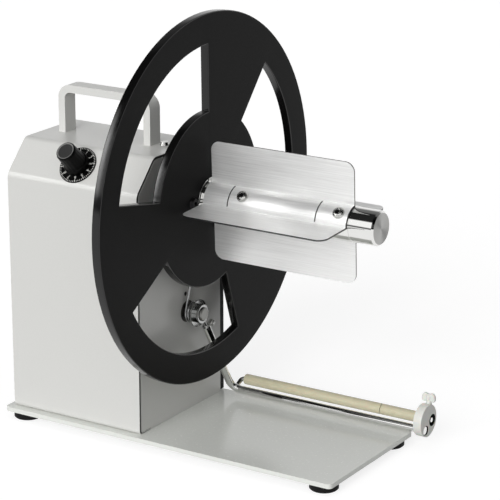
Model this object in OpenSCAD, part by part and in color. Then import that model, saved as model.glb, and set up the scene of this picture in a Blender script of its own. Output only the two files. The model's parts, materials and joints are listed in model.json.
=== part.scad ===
// Motor-driven label rewinder: sheet-metal housing on a base plate, a reel disc and
// finned core holder on a cantilever spindle, and a sprung dancer arm with a roller.
// Working frame: X = 0 on the outer face of the spindle side plate, X runs out along the
// spindle, Y = 0 on the spindle axis with the front at -Y, Z = 0 on top of the base plate.

/* [Housing] */
// Width of the housing along the spindle
house_w = 98; // [94:1:120]
// Depth of the housing from front to rear
house_d = 92; // [90:1:104]
// Height of the housing top above the base plate
house_h = 174; // [168:1:190]
// Run of the sloped panels along the depth
slope_run = 19; // [17:0.5:21]
// Rise of the sloped panels
slope_rise = 20; // [18:0.5:24]
// Thickness of the folded cover sheet
sheet_t = 1.5; // [1:0.1:2]
// Thickness of the two side plates
panel_t = 2.5; // [2:0.1:3]
// Open seam between the folded cover and each side plate
seam_gap = 0.5; // [0.3:0.1:0.8]
// Width of the turned-in flanges of the sheet parts
flange_w = 12; // [10:0.5:14]
// Depth of the rear cover tray
rear_d = 4; // [3:0.5:6]
// Wall of the rear cover tray
rear_wall = 1.5; // [1:0.1:2]

/* [Base] */
// Overhang of the base plate left of the housing
plate_left = 4; // [2:0.5:8]
// Reach of the base plate under the spindle
plate_reach = 140; // [125:1:146]
// Margin of the base plate in front of and behind the housing
plate_margin = 5; // [3:0.5:8]
// Thickness of the base plate
plate_t = 3; // [2.5:0.1:5]
// Plan corner radius of the base plate
plate_corner = 3; // [1:0.5:6]
// Diameter of a rubber foot
foot_d = 18; // [13:0.5:18.5]
// Height of a rubber foot
foot_h = 5; // [4.5:0.5:9]
// Distance of a foot centre from the plate edges
foot_inset = 10.5; // [10.5:0.5:18]

/* [Carry handle] */
// Length of the handle over its legs
handle_len = 70; // [60:1:74]
// Width of the handle bar
handle_w = 11; // [9:0.5:14]
// Thickness of the handle bar
handle_t = 5; // [4:0.5:6]
// Height of the handle above the housing top
handle_h = 31; // [26:1:40]
// Outside bend radius of the handle
handle_bend = 9; // [7:0.5:14]
// Offset of the handle from mid-width
handle_shift = -3.5; // [-5:0.5:-2]

/* [Speed dial] */
// Offset of the dial from mid-width
dial_shift = -1; // [-3:0.5:1]
// Diameter of the dial plate
dial_d = 25; // [21:0.5:26]
// Thickness of the dial plate
dial_t = 0.8; // [0.5:0.1:1.2]
// Diameter of the knob skirt
knob_d = 16; // [15:0.5:20]
// Diameter of the knob top
knob_top_d = 13; // [11:0.5:14.5]
// Height of the knob
knob_h = 16.5; // [14:0.5:20]
// Diameter of the potentiometer body
pot_d = 17; // [15:0.5:19]
// Depth of the potentiometer body
pot_h = 10; // [8:0.5:11]
// Diameter of the potentiometer neck
pot_neck_d = 7; // [6.6:0.1:7.6]
// Diameter of the potentiometer shaft
pot_shaft_d = 5; // [4:0.1:5.4]

/* [Spindle] */
// Depth of the spindle axis below the housing top
axis_drop = 29; // [28:0.5:34]
// Diameter of the spindle
shaft_d = 22; // [20:0.5:24]
// Reach of the spindle from the side plate
shaft_reach = 143; // [136:1:150]
// Relief on the diameter of the free spindle end
end_relief = 0.5; // [0.4:0.05:0.6]
// Chamfer of the spindle end
shaft_chamfer = 1.2; // [0.6:0.1:2]
// Diameter of the spindle journal inside the housing
journal_d = 15; // [13:0.5:16]
// Outside diameter of the ball bearings
bearing_d = 28; // [27:0.5:29]
// Width of the ball bearings
bearing_w = 7; // [6:0.5:8]
// Length of the bearing block
block_len = 33; // [30:0.5:36]

/* [Reel disc] */
// Diameter of the reel disc
disc_d = 232; // [215:1:240]
// Thickness of the reel disc
disc_t = 5.5; // [4:0.5:6.5]
// Gap from the side plate to the rear of the reel disc
disc_x = 17.4; // [17.2:0.1:19]
// Radius of the solid middle of the disc
disc_hub_r = 55.3; // [50:0.1:62]
// Outer radius of the windows
window_r = 97; // [88:0.5:100]
// Angle spanned by one window
window_angle = 78; // [60:1:90]
// Angle of the first window from the rear
window_phase = 10; // [0:1:20]
// Edge chamfer of the disc
disc_chamfer = 0.6; // [0.3:0.1:1]
// Diameter of the clamping flange behind the disc
flange_d = 52; // [48:1:60]
// Pitch radius of the disc screws
disc_screw_r = 19; // [18:0.5:20]

/* [Core holder] */
// Gap from the front of the disc to the fins
fin_gap = 2.6; // [2.4:0.1:4]
// Length of the fins along the spindle
fin_len = 100; // [90:1:104]
// Tip radius of the fins
fin_r = 38; // [30:0.5:42]
// Thickness of the fin sheet
fin_t = 1; // [0.8:0.1:1.5]
// Corner radius of the fins
fin_corner = 6; // [3:0.5:10]
// Turn of the fins about the spindle at rest
fin_turn = 2.5; // [0:0.5:5]
// Width of the bending slits in the saddle
slit_w = 0.8; // [0.5:0.1:1.5]
// Distance of the slits from the fin ends
slit_inset = 17.5; // [14:0.5:20]

/* [Dancer arm] */
// Offset of the arm pivot behind the spindle axis
pivot_y = 7.6; // [7:0.1:9]
// Height of the arm pivot
pivot_z = 66.2; // [64:0.2:70]
// Diameter of the pivot shaft
pivot_d = 6; // [5:0.5:6]
// Diameter of the bent rod
rod_d = 5; // [4:0.2:5.2]
// Offset of the cross rod behind the spindle axis
rod_y = 43.6; // [42:0.2:45]
// Height of the cross rod
rod_z = 5.2; // [5:0.1:6]
// Bend radius of the rod
rod_bend = 7; // [6:0.5:8]
// Diameter of the roller axle wire
axle_d = 3; // [2.4:0.1:3.4]
// Offset of the roller behind the cross rod
roller_dy = 8.3; // [7.6:0.1:8.6]
// Height of the roller above the cross rod
roller_dz = 4.4; // [4:0.1:5]
// Diameter of the roller
roller_d = 7; // [6:0.2:7.4]
// Length of the long roller tube
roller_len = 101; // [90:1:105]
// Length of the end sleeve
sleeve_len = 29; // [22:0.5:30]
// Diameter of the edge guide
guide_d = 20.5; // [20:0.1:21.5]
// Thickness of the edge guide
guide_t = 5.5; // [5:0.1:7]
// Span of the wing screw
wing_span = 9.2; // [8:0.2:12]

/* [Arm spring] */
// Wire diameter of the arm spring
wire_d = 1.4; // [1:0.1:1.4]
// Mean radius of the spring coil
coil_r = 6.4; // [6.2:0.1:6.8]
// Pitch of the spring coil
coil_pitch = 1.9; // [1.85:0.05:2]
// Coil length in eighths of a turn
coil_eighths = 15; // [14:1:16]
// Length of the spring leg on the side plate
leg_len = 22; // [18:0.5:26]

/* [Drive] */
// Belt diameter of the spindle pulley
pulley_d = 44; // [40:0.5:45]
// Belt diameter of the motor pulley
motor_pulley_d = 22; // [18:0.5:24]
// Width of the drive belt
belt_w = 7; // [5:0.5:8]
// Thickness of the drive belt
belt_t = 1.5; // [1:0.1:1.8]
// Diameter of the gearbox
gearbox_d = 37; // [34:0.5:38]
// Offset of the motor from the spindle axis
motor_y = -20; // [-21:0.5:-19]
// Height of the motor axis
motor_z = 62; // [56:1:70]

/* [Clearances] */
// Radial running clearance of shafts and pins
run_gap = 0.05; // [0.03:0.01:0.08]
// Radial clearance of seated pieces
fit_gap = 0.03; // [0.02:0.01:0.05]
// Free gap between pieces that move past each other
free_gap = 0.4; // [0.3:0.05:0.5]

/* [Hidden] */
$fn = 64;

// Thread sizes and screw heads
m3 = 3;
m3_head = 6;
m3_head_h = 2;
m4 = 4;
m4_head = 7;
m4_head_h = 2.2;

// Places worked out from the driving sizes
front_h = house_h - slope_rise;
slope_len = sqrt(slope_run * slope_run + slope_rise * slope_rise);
slope_tilt = atan2(slope_rise, slope_run);
axis_z = house_h - axis_drop;
panel_in = -panel_t;
left_in = -house_w + panel_t;
cover_x0 = -house_w;
cover_x1 = 0;
half_d = house_d / 2;
mid_x = -house_w / 2;
dial_x = mid_x + dial_shift;
floor_z = -plate_t - foot_h;

// Screws through the base plate
side_screw_x = flange_w / 2;
base_screw_y = 22;
foot_flange_inset = 17;
front_screw_y = -half_d + flange_w / 2;
front_screw_x = 24;
bracket_t = 2;
bracket_foot = 24;
bracket_y0 = motor_y - gearbox_d / 2 + 0.5;
bracket_y1 = motor_y + gearbox_d / 2 + 1.5;
bracket_foot_y0 = -half_d + flange_w + 2;

// Drive train along X
pulley_w = belt_w + 3;
pulley_rim = 1.2;
pulley_lip = 3;
pulley_x1 = dial_x - pot_d / 2 - 5.5;
pulley_x0 = pulley_x1 - pulley_w;
bracket_x0 = pulley_x1 + 2;
motor_x0 = bracket_x0 + bracket_t;
gearbox_len = 22;
motor_can_d = gearbox_d - 2;
motor_can_len = 29;
motor_boss_d = 12;
motor_shaft_d = 6;
motor_pcd = 31;
clip_t = 1;
journal_end = pulley_x0 - clip_t - 2;

// Bearing block and bearings
block_flange_t = 5;
block_wall = 3;
block_d = bearing_d + 2 * block_wall;
block_pcd = block_d + m4_head + 0.5;
block_flange_d = block_pcd + m4_head + 1;
block_x0 = panel_in - block_len;
bearing_xs = [panel_in - 1.5 - bearing_w, block_x0];
ring_t = (bearing_d - journal_d) * 0.16;
ball_d = (bearing_d - journal_d) * 0.34;
ball_pitch_r = (bearing_d + journal_d) / 4;
ball_count = 8;

// Spindle
shoulder_x = 2;
disc_x1 = disc_x + disc_t;
fin_x0 = disc_x1 + fin_gap;
fin_x1 = fin_x0 + fin_len;
flange_t = 5;
collar_d = flange_d - 16;
collar_len = 8;
window_count = 3;
disc_screw_phase = 175;
button_d = 7.5;
button_h = 2;
washer_d = shaft_d + 6;
washer_t = 1;
saddle_in = shaft_d / 2 + fit_gap;
saddle_out = saddle_in + fin_t;
fin_screw_inset = 26.7;
fin_screw_end = 6.5;
fin_screw_xs = [fin_x0 + fin_screw_inset, fin_x1 - fin_screw_end];
slit_offset = 3.5;
fin_slit_xs = [fin_x0 + slit_inset, fin_x1 - slit_inset - slit_offset];

// Arm hub stack along X: coil, rim, barrel with the stud that carries the rod, nut
coil_x0 = 2.4 + wire_d / 2;
coil_end_x = coil_x0 + coil_pitch * coil_eighths / 8;
coil_gap = 0.55;
hub_x0 = coil_end_x + wire_d / 2 + coil_gap;
hub_rim_t = 1;
hub_d = 17.5;
barrel_d = 12;
stud_d = 2.8;
stud_r = 16.8;
arm_x = hub_x0 + hub_rim_t + stud_d / 2 + 0.1;
hub_x1 = arm_x + stud_d / 2 + 0.3;
hub_screw_r = 14.2;
hub_screw_d = 2.4;
hub_screw_head = 4.2;
hub_screw_head_h = 2.4;
hub_screw_reach = 4.4;
nut_d = 9;
nut_t = 1.4;
rod_top_r = 11.5;

// Dancer arm
lean = atan2(rod_y - pivot_y, pivot_z - rod_z);
arm_len = norm([rod_y - pivot_y, pivot_z - rod_z]);
roller_y = rod_y + roller_dy;
roller_z = rod_z + roller_dz;
axle_x = arm_x + 2.6;
axle_bend = 2.5;
axle_tilt = -atan2(roller_dy, roller_dz);
axle_reach = norm([roller_dy, roller_dz]);
roller_x0 = axle_x + axle_bend + 0.5;
sleeve_gap = 0.3;
sleeve_x0 = roller_x0 + roller_len + sleeve_gap;
sleeve_x1 = sleeve_x0 + sleeve_len;
guide_x0 = sleeve_x1 + 1;
guide_x1 = guide_x0 + guide_t;
guide_y = roller_y - 4.9;
guide_z = guide_d / 2 + free_gap;
rod_end = guide_x1 - 0.5;
rod_sink = 3;
rod_sink_play = 1.2;
wing_x = (guide_x0 + guide_x1) / 2;
wing_t = 3;
wing_lobe = wing_span * 0.62;
wing_gap = 1.7;
wing_neck_gap = 1.3;
wing_stem_d = 4;
wing_neck_d = 6;
guide_top = guide_z + sqrt(pow(guide_d / 2, 2) - pow(roller_y - guide_y, 2));
boss_d = 9;
boss_x0 = 0.8;
bush_x1 = boss_x0 - free_gap;
bush_d = 14;
bush_flange_d = 20;
bush_len = 10;

// Arm spring
coil_phase = 163;
tail_len = 4;
wire_sides = 6;
anchor_d = 3;
panel_hole_d = 2.75;
panel_hole_y = 6;
panel_hole_z = 78;

// Arm switch
cam_x0 = -panel_t - 15.5;
cam_x1 = -panel_t - 9.5;
cam_d = 14;
cam_lever = 15;
cam_lever_w = 4;
cam_angle = -28;
stop_d = 4;
stop_r = 12;
switch_y0 = pivot_y + 9;
switch_len = 20;
switch_h = 10;
switch_z0 = pivot_z + 5.9;
switch_strip = 0.6;
switch_post_d = 5;
switch_stud_d = 2;

// Control board
board_w = 36;
board_h = 60;
board_t = 1.6;
board_y0 = 0;
board_z0 = 52;
post_len = 8;
board_x0 = left_in + post_len;
board_hole_inset = 4;
relay_at = [10, 8];
relay_size = [7, 14, 12];
terminal_at = [8, 44];
terminal_size = [5, 20, 8];
capacitor_at = [18, 32];
capacitor_d = 10;
capacitor_h = 8;
post_d = 5;

// Rear fittings
rear_y0 = half_d;
rear_y1 = half_d + rear_d;
rear_z0 = 1;
rear_z1 = front_h - 1;
rear_screw_inset = 24;
rear_screw_zs = [rear_screw_inset, front_h - rear_screw_inset];
jack_shift = 23;
jack_x = mid_x - jack_shift;
jack_z = 30;
jack_d = 11;
rocker_shift = 19;
rocker_x = mid_x + rocker_shift;
rocker_z = 30;
rocker_w = 10.4;
rocker_h = 15.2;
rocker_case_w = 13;
rocker_case_h = 19;
rocker_pivot_y = rear_y1 - 1;
rocker_rest = -8;
rocker_pin_d = 2.4;
rocker_pin_reach = rocker_w / 2 + 0.8;

// Whole part with its origin at the bottom centre
right_end = max(guide_x1, wing_x + wing_span / 2);
origin_x = -(right_end - house_w - plate_left) / 2;

module placed() {
    translate([origin_x, 0, -floor_z]) children();
}

// Round bar along X
module bar_x(d, x0, x1) {
    translate([x0, 0, 0]) rotate([0, 90, 0]) cylinder(d = d, h = x1 - x0);
}

// Ring along X
module ring_x(d_out, d_in, x0, x1) {
    difference() {
        bar_x(d_out, x0, x1);
        bar_x(d_in, x0 - 1, x1 + 1);
    }
}

// Flat shape drawn in Y and Z, carried along X
module slab_x(x0, x1) {
    translate([x0, 0, 0]) rotate([90, 0, 90]) linear_extrude(x1 - x0) children();
}

// Box given by its low and high corners
module box(low, high) {
    translate(low) cube(high - low);
}

// Pan-head screw that points down, with its head seat at the origin
module pan_screw(d, head_d, head_h, reach) {
    translate([0, 0, -reach]) cylinder(d = d, h = reach);
    cylinder(d1 = head_d, d2 = head_d - head_h * 0.8, h = head_h);
}

// Button-head screw with a hexagon socket, pointing down
module button_screw(d, head_d, head_h, reach) {
    difference() {
        pan_screw(d, head_d, head_h, reach);
        translate([0, 0, head_h * 0.35]) cylinder(d = d * 0.72, h = head_h, $fn = 6);
    }
}

// Rectangle with round corners
module round_rect(x0, y0, x1, y1, r) {
    translate([x0 + r, y0]) square([x1 - x0 - 2 * r, y1 - y0]);
    translate([x0, y0 + r]) square([x1 - x0, y1 - y0 - 2 * r]);
    for (x = [x0 + r, x1 - r], y = [y0 + r, y1 - r]) translate([x, y]) circle(r);
}

// Housing outline set in by t, as points in depth and height
function slope_low(t) = front_h - t * slope_run / slope_len
    + (t - t * slope_rise / slope_len) * slope_rise / slope_run;
function slope_high(t) = half_d - t * slope_rise / slope_len
    - (slope_rise - t + t * slope_run / slope_len) * slope_run / slope_rise;
function outline(t, z0) = [
    [-half_d + t, z0], [-half_d + t, slope_low(t)], [-slope_high(t), house_h - t],
    [slope_high(t), house_h - t], [half_d - t, slope_low(t)], [half_d - t, z0]
];

// Local frame on the front slope, with +Z square out of it at the dial centre
module on_slope() {
    translate([dial_x, -half_d + slope_run / 2, front_h + slope_rise / 2])
        rotate([slope_tilt, 0, 0]) children();
}

module on_axis() {
    translate([0, 0, axis_z]) children();
}

module on_pivot() {
    translate([0, pivot_y, pivot_z]) children();
}

module on_motor() {
    translate([0, motor_y, motor_z]) children();
}

foot_points = [
    for (x = [-house_w - plate_left + foot_inset, plate_reach - foot_inset],
         y = [-half_d - plate_margin + foot_inset, half_d + plate_margin - foot_inset]) [x, y]
];

bracket_screw_points = [
    for (y = [bracket_foot_y0 + 6, bracket_y1 - 6]) [motor_x0 + bracket_foot - 8, y]
];

base_screw_points = concat(
    [for (y = [-base_screw_y, 0, base_screw_y]) [panel_in - side_screw_x, y]],
    [for (y = [-base_screw_y, base_screw_y]) [left_in + side_screw_x, y]],
    [for (x = [-front_screw_x, front_screw_x]) [mid_x + x, front_screw_y]],
    bracket_screw_points
);

// Seat height of each base screw thread: side flanges, cover flange, motor bracket
base_screw_tops = [panel_t, panel_t, panel_t, panel_t, panel_t, sheet_t, sheet_t, bracket_t, bracket_t];

module base_plate() {
    foot_hole = plate_t - 0.6;
    color("#bcbfb9") difference() {
        translate([0, 0, -plate_t]) linear_extrude(plate_t)
            round_rect(-house_w - plate_left, -half_d - plate_margin,
                       plate_reach, half_d + plate_margin, plate_corner);
        for (p = foot_points) translate([p[0], p[1], -plate_t - 1])
            cylinder(d = m4 + 2 * fit_gap, h = foot_hole + 1);
        for (p = base_screw_points) translate([p[0], p[1], -plate_t - 1])
            cylinder(d = m4 + 0.3, h = plate_t + 2);
    }
}

foot_recess = foot_h * 0.55;

module rubber_feet() {
    color("#161616") for (p = foot_points) translate([p[0], p[1], floor_z]) difference() {
        union() {
            cylinder(d1 = foot_d - 1.6, d2 = foot_d, h = 0.8);
            translate([0, 0, 0.8]) cylinder(d = foot_d, h = foot_h - 0.8);
        }
        translate([0, 0, -1]) cylinder(d = m4_head + 1.5, h = foot_recess + 1);
        cylinder(d = m4 + 0.3, h = foot_h + 1);
    }
}

module foot_screws() {
    reach = foot_h - foot_recess + plate_t - 0.8;
    color("#9a9a98") for (p = foot_points) translate([p[0], p[1], floor_z + foot_recess])
        rotate([180, 0, 0]) pan_screw(m4, m4_head, m4_head_h, reach);
}

module base_screws() {
    color("#9a9a98") for (i = [0:len(base_screw_points) - 1])
        translate([base_screw_points[i][0], base_screw_points[i][1], -plate_t])
            rotate([180, 0, 0]) pan_screw(m4, m4_head, m4_head_h, plate_t + base_screw_tops[i]);
}

// Screw places on the housing
tab_half = 10;
tab_len = 14;
tab_t = 2;
tab_screw_z = house_h - sheet_t - tab_len / 2;
front_tab_z = 78;
front_tab_half = 8;
front_tab_y = -half_d + sheet_t + tab_len / 2;
handle_x = mid_x + handle_shift;
handle_leg_xs = [handle_x - handle_len / 2 + handle_t / 2, handle_x + handle_len / 2 - handle_t / 2];
top_screw_gap = 2.5;
top_screw = [handle_x + handle_len / 2 + top_screw_gap + m3_head / 2, 2];
top_tab_edge = 3.5;

module folded_cover() {
    color("#d6d6d3") difference() {
        union() {
            slab_x(cover_x0, cover_x1) difference() {
                polygon(outline(0, 0));
                polygon(outline(sheet_t, -1));
                translate([half_d - sheet_t - 0.01, -1]) square([sheet_t + 1, front_h + 1 - sheet_t]);
            }
            box([mid_x - front_screw_x - 8, -half_d, 0],
                [mid_x + front_screw_x + 8, -half_d + flange_w, sheet_t]);
            box([left_in, -tab_half + 2, house_h - sheet_t - tab_len],
                [left_in + tab_t, tab_half - 2, house_h - sheet_t / 2]);
            box([left_in, -half_d + sheet_t / 2, front_tab_z - front_tab_half],
                [left_in + tab_t, -half_d + sheet_t + tab_len, front_tab_z + front_tab_half]);
        }
        for (x = handle_leg_xs) translate([x, 0, house_h - sheet_t - 1])
            cylinder(d = m3 + 0.3, h = sheet_t + 2);
        translate([top_screw[0], top_screw[1], house_h - sheet_t - 1])
            cylinder(d = m3 + 0.3, h = sheet_t + 2);
        on_slope() translate([0, 0, -sheet_t - 1]) cylinder(d = pot_neck_d + 0.3, h = sheet_t + 2);
        for (x = [-front_screw_x, front_screw_x]) translate([mid_x + x, front_screw_y, -1])
            cylinder(d = m4 + 2 * fit_gap, h = sheet_t + 2);
        translate([0, 0, tab_screw_z]) bar_x(m3 + 2 * fit_gap, left_in - 1, left_in + tab_t + 1);
        translate([0, front_tab_y, front_tab_z])
            bar_x(m3 + 2 * fit_gap, left_in - 1, left_in + tab_t + 1);
    }
}

// Side plate set inside the folded cover, with turned-in flanges from its inside face at x_in
module side_plate(x0, x1, x_in, side) {
    x_tip = x_in + side * flange_w;
    lo = min(x_in, x_tip);
    hi = max(x_in, x_tip);
    flange_y = half_d - sheet_t - 1.5;
    slab_x(x0, x1) polygon(outline(sheet_t + seam_gap, 0));
    box([x0, 0, 0], [x1, half_d, front_h - sheet_t - seam_gap]);
    box([lo, -flange_y, 0], [hi, flange_y, panel_t]);
    box([lo, half_d - panel_t, panel_t + 6], [hi, half_d, front_h - 3]);
}

block_screw_angles = [45, 135, 225, 315];

module spindle_panel() {
    color("#cfcfcc") difference() {
        union() {
            side_plate(-panel_t, 0, panel_in, -1);
            box([top_screw[0] - top_tab_edge, top_screw[1] - tab_half, house_h - sheet_t - panel_t],
                [panel_in, top_screw[1] + tab_half, house_h - sheet_t]);
        }
        on_axis() {
            bar_x(journal_d + 2, -panel_t - 1, 1);
            for (a = block_screw_angles) rotate([a, 0, 0]) translate([0, block_pcd / 2, 0])
                bar_x(m4 + 2 * fit_gap, -panel_t - 1, -0.8);
        }
        on_pivot() bar_x(bush_d + 2 * fit_gap, -panel_t - 1, 1);
        translate([0, panel_hole_y, panel_hole_z]) bar_x(panel_hole_d, -panel_t - 1, 1);
        on_pivot() translate([0, anchor_place[0], anchor_place[1]])
            bar_x(anchor_d + 2 * fit_gap, -panel_t - 1, 1);
        translate([top_screw[0], top_screw[1], house_h - sheet_t - panel_t - 1])
            cylinder(d = m3 + 2 * fit_gap, h = panel_t + 2);
        for (y = [-base_screw_y, 0, base_screw_y]) translate([panel_in - side_screw_x, y, -1])
            cylinder(d = m4 + 2 * fit_gap, h = panel_t + 2);
        rear_holes(panel_in - side_screw_x);
    }
}

// Rear screw holes through one rear flange
module rear_holes(x) {
    for (z = rear_screw_zs) translate([x, half_d + 1, z]) rotate([90, 0, 0])
        cylinder(d = m3 + 2 * fit_gap, h = panel_t + 2);
}

module left_panel() {
    color("#cfcfcc") difference() {
        side_plate(-house_w, left_in, left_in, 1);
        translate([0, 0, tab_screw_z]) bar_x(m3 + 0.3, -house_w - 1, left_in + 1);
        translate([0, front_tab_y, front_tab_z]) bar_x(m3 + 0.3, -house_w - 1, left_in + 1);
        for (y = [-base_screw_y, base_screw_y]) translate([left_in + side_screw_x, y, -1])
            cylinder(d = m4 + 2 * fit_gap, h = panel_t + 2);
        rear_holes(left_in + side_screw_x);
        for (p = board_points) translate([0, p[0], p[1]]) bar_x(m3 + 0.3, -house_w + 0.8, left_in + 1);
    }
}

module rear_cover() {
    boss = m3_head + 2;
    screw_xs = [panel_in - side_screw_x, left_in + side_screw_x];
    color("#1a1a1a") difference() {
        union() {
            difference() {
                box([-house_w, rear_y0, rear_z0], [0, rear_y1, rear_z1]);
                box([-house_w + rear_wall, rear_y0 - 1, rear_z0 + rear_wall],
                    [-rear_wall, rear_y1 - rear_wall, rear_z1 - rear_wall]);
            }
            for (x = screw_xs, z = rear_screw_zs) translate([x, rear_y1 - rear_wall / 2, z])
                rotate([90, 0, 0]) cylinder(d = boss, h = rear_d - rear_wall / 2);
        }
        for (x = screw_xs, z = rear_screw_zs) translate([x, rear_y1 + 1, z])
            rotate([90, 0, 0]) cylinder(d = m3 + 0.3, h = rear_d + 2);
        translate([jack_x, rear_y1 + 1, jack_z]) rotate([90, 0, 0])
            cylinder(d = jack_d + 2 * fit_gap, h = rear_d + 2);
        box([rocker_x - rocker_case_w / 2 - fit_gap, rear_y0 - 1, rocker_z - rocker_case_h / 2 - fit_gap],
            [rocker_x + rocker_case_w / 2 + fit_gap, rear_y1 + 1, rocker_z + rocker_case_h / 2 + fit_gap]);
    }
}

module cover_screws() {
    reach = panel_t + tab_t - 0.4;
    color("#b9b9b7") {
        translate([top_screw[0], top_screw[1], house_h])
            pan_screw(m3, m3_head, m3_head_h, sheet_t + panel_t);
        for (p = [[0, tab_screw_z], [front_tab_y, front_tab_z]])
            translate([-house_w, p[0], p[1]]) rotate([0, -90, 0])
                pan_screw(m3, m3_head, m3_head_h, reach);
    }
}

module rear_screws() {
    color("#2a2a2a") for (x = [panel_in - side_screw_x, left_in + side_screw_x], z = rear_screw_zs)
        translate([x, rear_y1, z]) rotate([-90, 0, 0])
            pan_screw(m3, m3_head, m3_head_h, rear_d + panel_t);
}

handle_thread = 12;

// Upright outline of the handle: round-topped, len wide and tall high
module arch(len, tall, r) {
    translate([-len / 2, -1]) square([len, tall - r + 1]);
    translate([-len / 2 + r, -1]) square([len - 2 * r, tall + 1]);
    for (x = [-len / 2 + r, len / 2 - r]) translate([x, tall - r]) circle(r);
}

module carry_handle() {
    color("#e4e4e2") difference() {
        translate([handle_x, 0, house_h]) rotate([90, 0, 0])
            linear_extrude(handle_w, center = true) difference() {
                intersection() {
                    arch(handle_len, handle_h, handle_bend);
                    translate([-handle_len, 0]) square([2 * handle_len, 2 * handle_h]);
                }
                arch(handle_len - 2 * handle_t, handle_h - handle_t, handle_bend - handle_t);
            }
        for (x = handle_leg_xs) translate([x, 0, house_h - 1])
            cylinder(d = m3 + 2 * fit_gap, h = handle_thread + 1);
    }
}

module handle_screws() {
    color("#9a9a98") for (x = handle_leg_xs) translate([x, 0, house_h - sheet_t])
        rotate([180, 0, 0]) pan_screw(m3, m3_head, m3_head_h, sheet_t + handle_thread - 1);
}

// Heights on the slope, measured square out of it
nut_h = 2;
pot_nut_d = 11;
neck_top = dial_t + nut_h + 0.8;
knob_z0 = dial_t + 0.5;
knob_bore_z = neck_top + 0.5;
knob_skirt_h = 3.2;
shaft_top = knob_z0 + knob_h - 4;

module dial_plate() {
    color("#151515") on_slope() difference() {
        cylinder(d = dial_d, h = dial_t);
        translate([0, 0, -1]) cylinder(d = pot_neck_d + 0.3, h = dial_t + 2);
    }
}

module potentiometer() {
    color("#7d8086") on_slope() difference() {
        union() {
            translate([0, 0, -sheet_t - pot_h]) cylinder(d = pot_d, h = pot_h);
            translate([0, 0, -sheet_t - 0.1]) cylinder(d = pot_neck_d, h = neck_top + sheet_t + 0.1);
            for (x = [-5, 0, 5]) translate([x - 0.8, -pot_d / 2 - 4, -sheet_t - pot_h * 0.6])
                cube([1.6, 8, 0.8]);
        }
        translate([0, 0, -sheet_t - pot_h * 0.6])
            cylinder(d = pot_shaft_d + 2 * run_gap, h = pot_h + neck_top + sheet_t);
    }
}

module pot_nut() {
    color("#b9b9b7") on_slope() translate([0, 0, dial_t]) difference() {
        cylinder(d = pot_nut_d, h = nut_h, $fn = 6);
        translate([0, 0, -1]) cylinder(d = pot_neck_d + 2 * fit_gap, h = nut_h + 2);
    }
}

module pot_shaft() {
    z0 = -sheet_t - pot_h * 0.6 + free_gap;
    color("#c8c8c6") on_slope() translate([0, 0, z0]) cylinder(d = pot_shaft_d, h = shaft_top - z0);
}

cap_d = knob_top_d - 3.5;
cap_sink = 0.4;
flute_count = 18;
flute_d = 1.2;

module speed_knob() {
    top = knob_z0 + knob_h;
    color("#131313") on_slope() difference() {
        rotate_extrude() polygon([
            [0, knob_z0], [knob_d / 2, knob_z0], [knob_d / 2, knob_z0 + knob_skirt_h],
            [knob_d / 2 - 0.6, knob_z0 + knob_skirt_h + 0.6],
            [knob_top_d / 2, top - 0.8], [knob_top_d / 2 - 0.8, top], [0, top]
        ]);
        translate([0, 0, knob_z0 - 1]) cylinder(d = pot_nut_d + 1.2, h = knob_bore_z - knob_z0 + 1);
        cylinder(d = pot_shaft_d + 2 * fit_gap, h = shaft_top + 0.2);
        translate([0, 0, top - cap_sink]) cylinder(d = cap_d, h = cap_sink + 1);
        for (i = [0:flute_count - 1]) rotate([0, 0, 360 / flute_count * i])
            translate([knob_top_d / 2 + 0.9, 0, knob_z0 + knob_skirt_h + 1.5])
                cylinder(d = flute_d * 2, h = knob_h);
    }
}

motor_screw_angles = [45, 135, 225, 315];
motor_thread = 4;

module gear_motor() {
    x1 = motor_x0 + gearbox_len;
    color("#8b8f94") on_motor() difference() {
        union() {
            bar_x(gearbox_d, motor_x0, x1);
            bar_x(motor_boss_d, bracket_x0, motor_x0 + 1);
            bar_x(motor_can_d, x1 - 0.5, x1 + motor_can_len);
        }
        bar_x(motor_shaft_d + 2 * run_gap, bracket_x0 - 1, motor_x0 + 8);
        for (a = motor_screw_angles) rotate([a, 0, 0]) translate([0, motor_pcd / 2, 0])
            bar_x(m3 + 2 * fit_gap, motor_x0 - 1, motor_x0 + motor_thread + 0.3);
    }
}

module motor_bracket() {
    top = motor_z + gearbox_d / 2 + 3;
    color("#a9abac") difference() {
        union() {
            box([bracket_x0, bracket_y0, sheet_t + 0.5], [motor_x0, bracket_y1, top]);
            box([bracket_x0, bracket_foot_y0, 0], [motor_x0 + bracket_foot, bracket_y1, bracket_t]);
        }
        on_motor() bar_x(motor_boss_d + 2 * fit_gap, bracket_x0 - 1, motor_x0 + 1);
        on_motor() for (a = motor_screw_angles) rotate([a, 0, 0]) translate([0, motor_pcd / 2, 0])
            bar_x(m3 + 0.3, bracket_x0 - 1, motor_x0 + 1);
        for (p = bracket_screw_points) translate([p[0], p[1], -1])
            cylinder(d = m4 + 2 * fit_gap, h = bracket_t + 2);
    }
}

module motor_screws() {
    color("#6c6c6a") on_motor() for (a = motor_screw_angles) rotate([a, 0, 0])
        translate([bracket_x0, motor_pcd / 2, 0]) rotate([0, -90, 0])
            pan_screw(m3, m3_head - 0.5, m3_head_h - 0.4, bracket_t + motor_thread);
}

module motor_shaft() {
    color("#c4c4c2") on_motor() bar_x(motor_shaft_d, pulley_x0 - 1, motor_x0 + 8 - free_gap);
}

// Flanged belt pulley, belt_dia wide at the belt
module pulley(belt_dia, bore) {
    difference() {
        union() {
            bar_x(belt_dia, pulley_x0, pulley_x1);
            bar_x(belt_dia + 2 * pulley_lip, pulley_x0, pulley_x0 + pulley_rim);
            bar_x(belt_dia + 2 * pulley_lip, pulley_x1 - pulley_rim, pulley_x1);
        }
        bar_x(bore + 2 * fit_gap, pulley_x0 - 1, pulley_x1 + 1);
    }
}

module motor_pulley() {
    color("#b4b6b8") on_motor() pulley(motor_pulley_d, motor_shaft_d);
}

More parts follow.
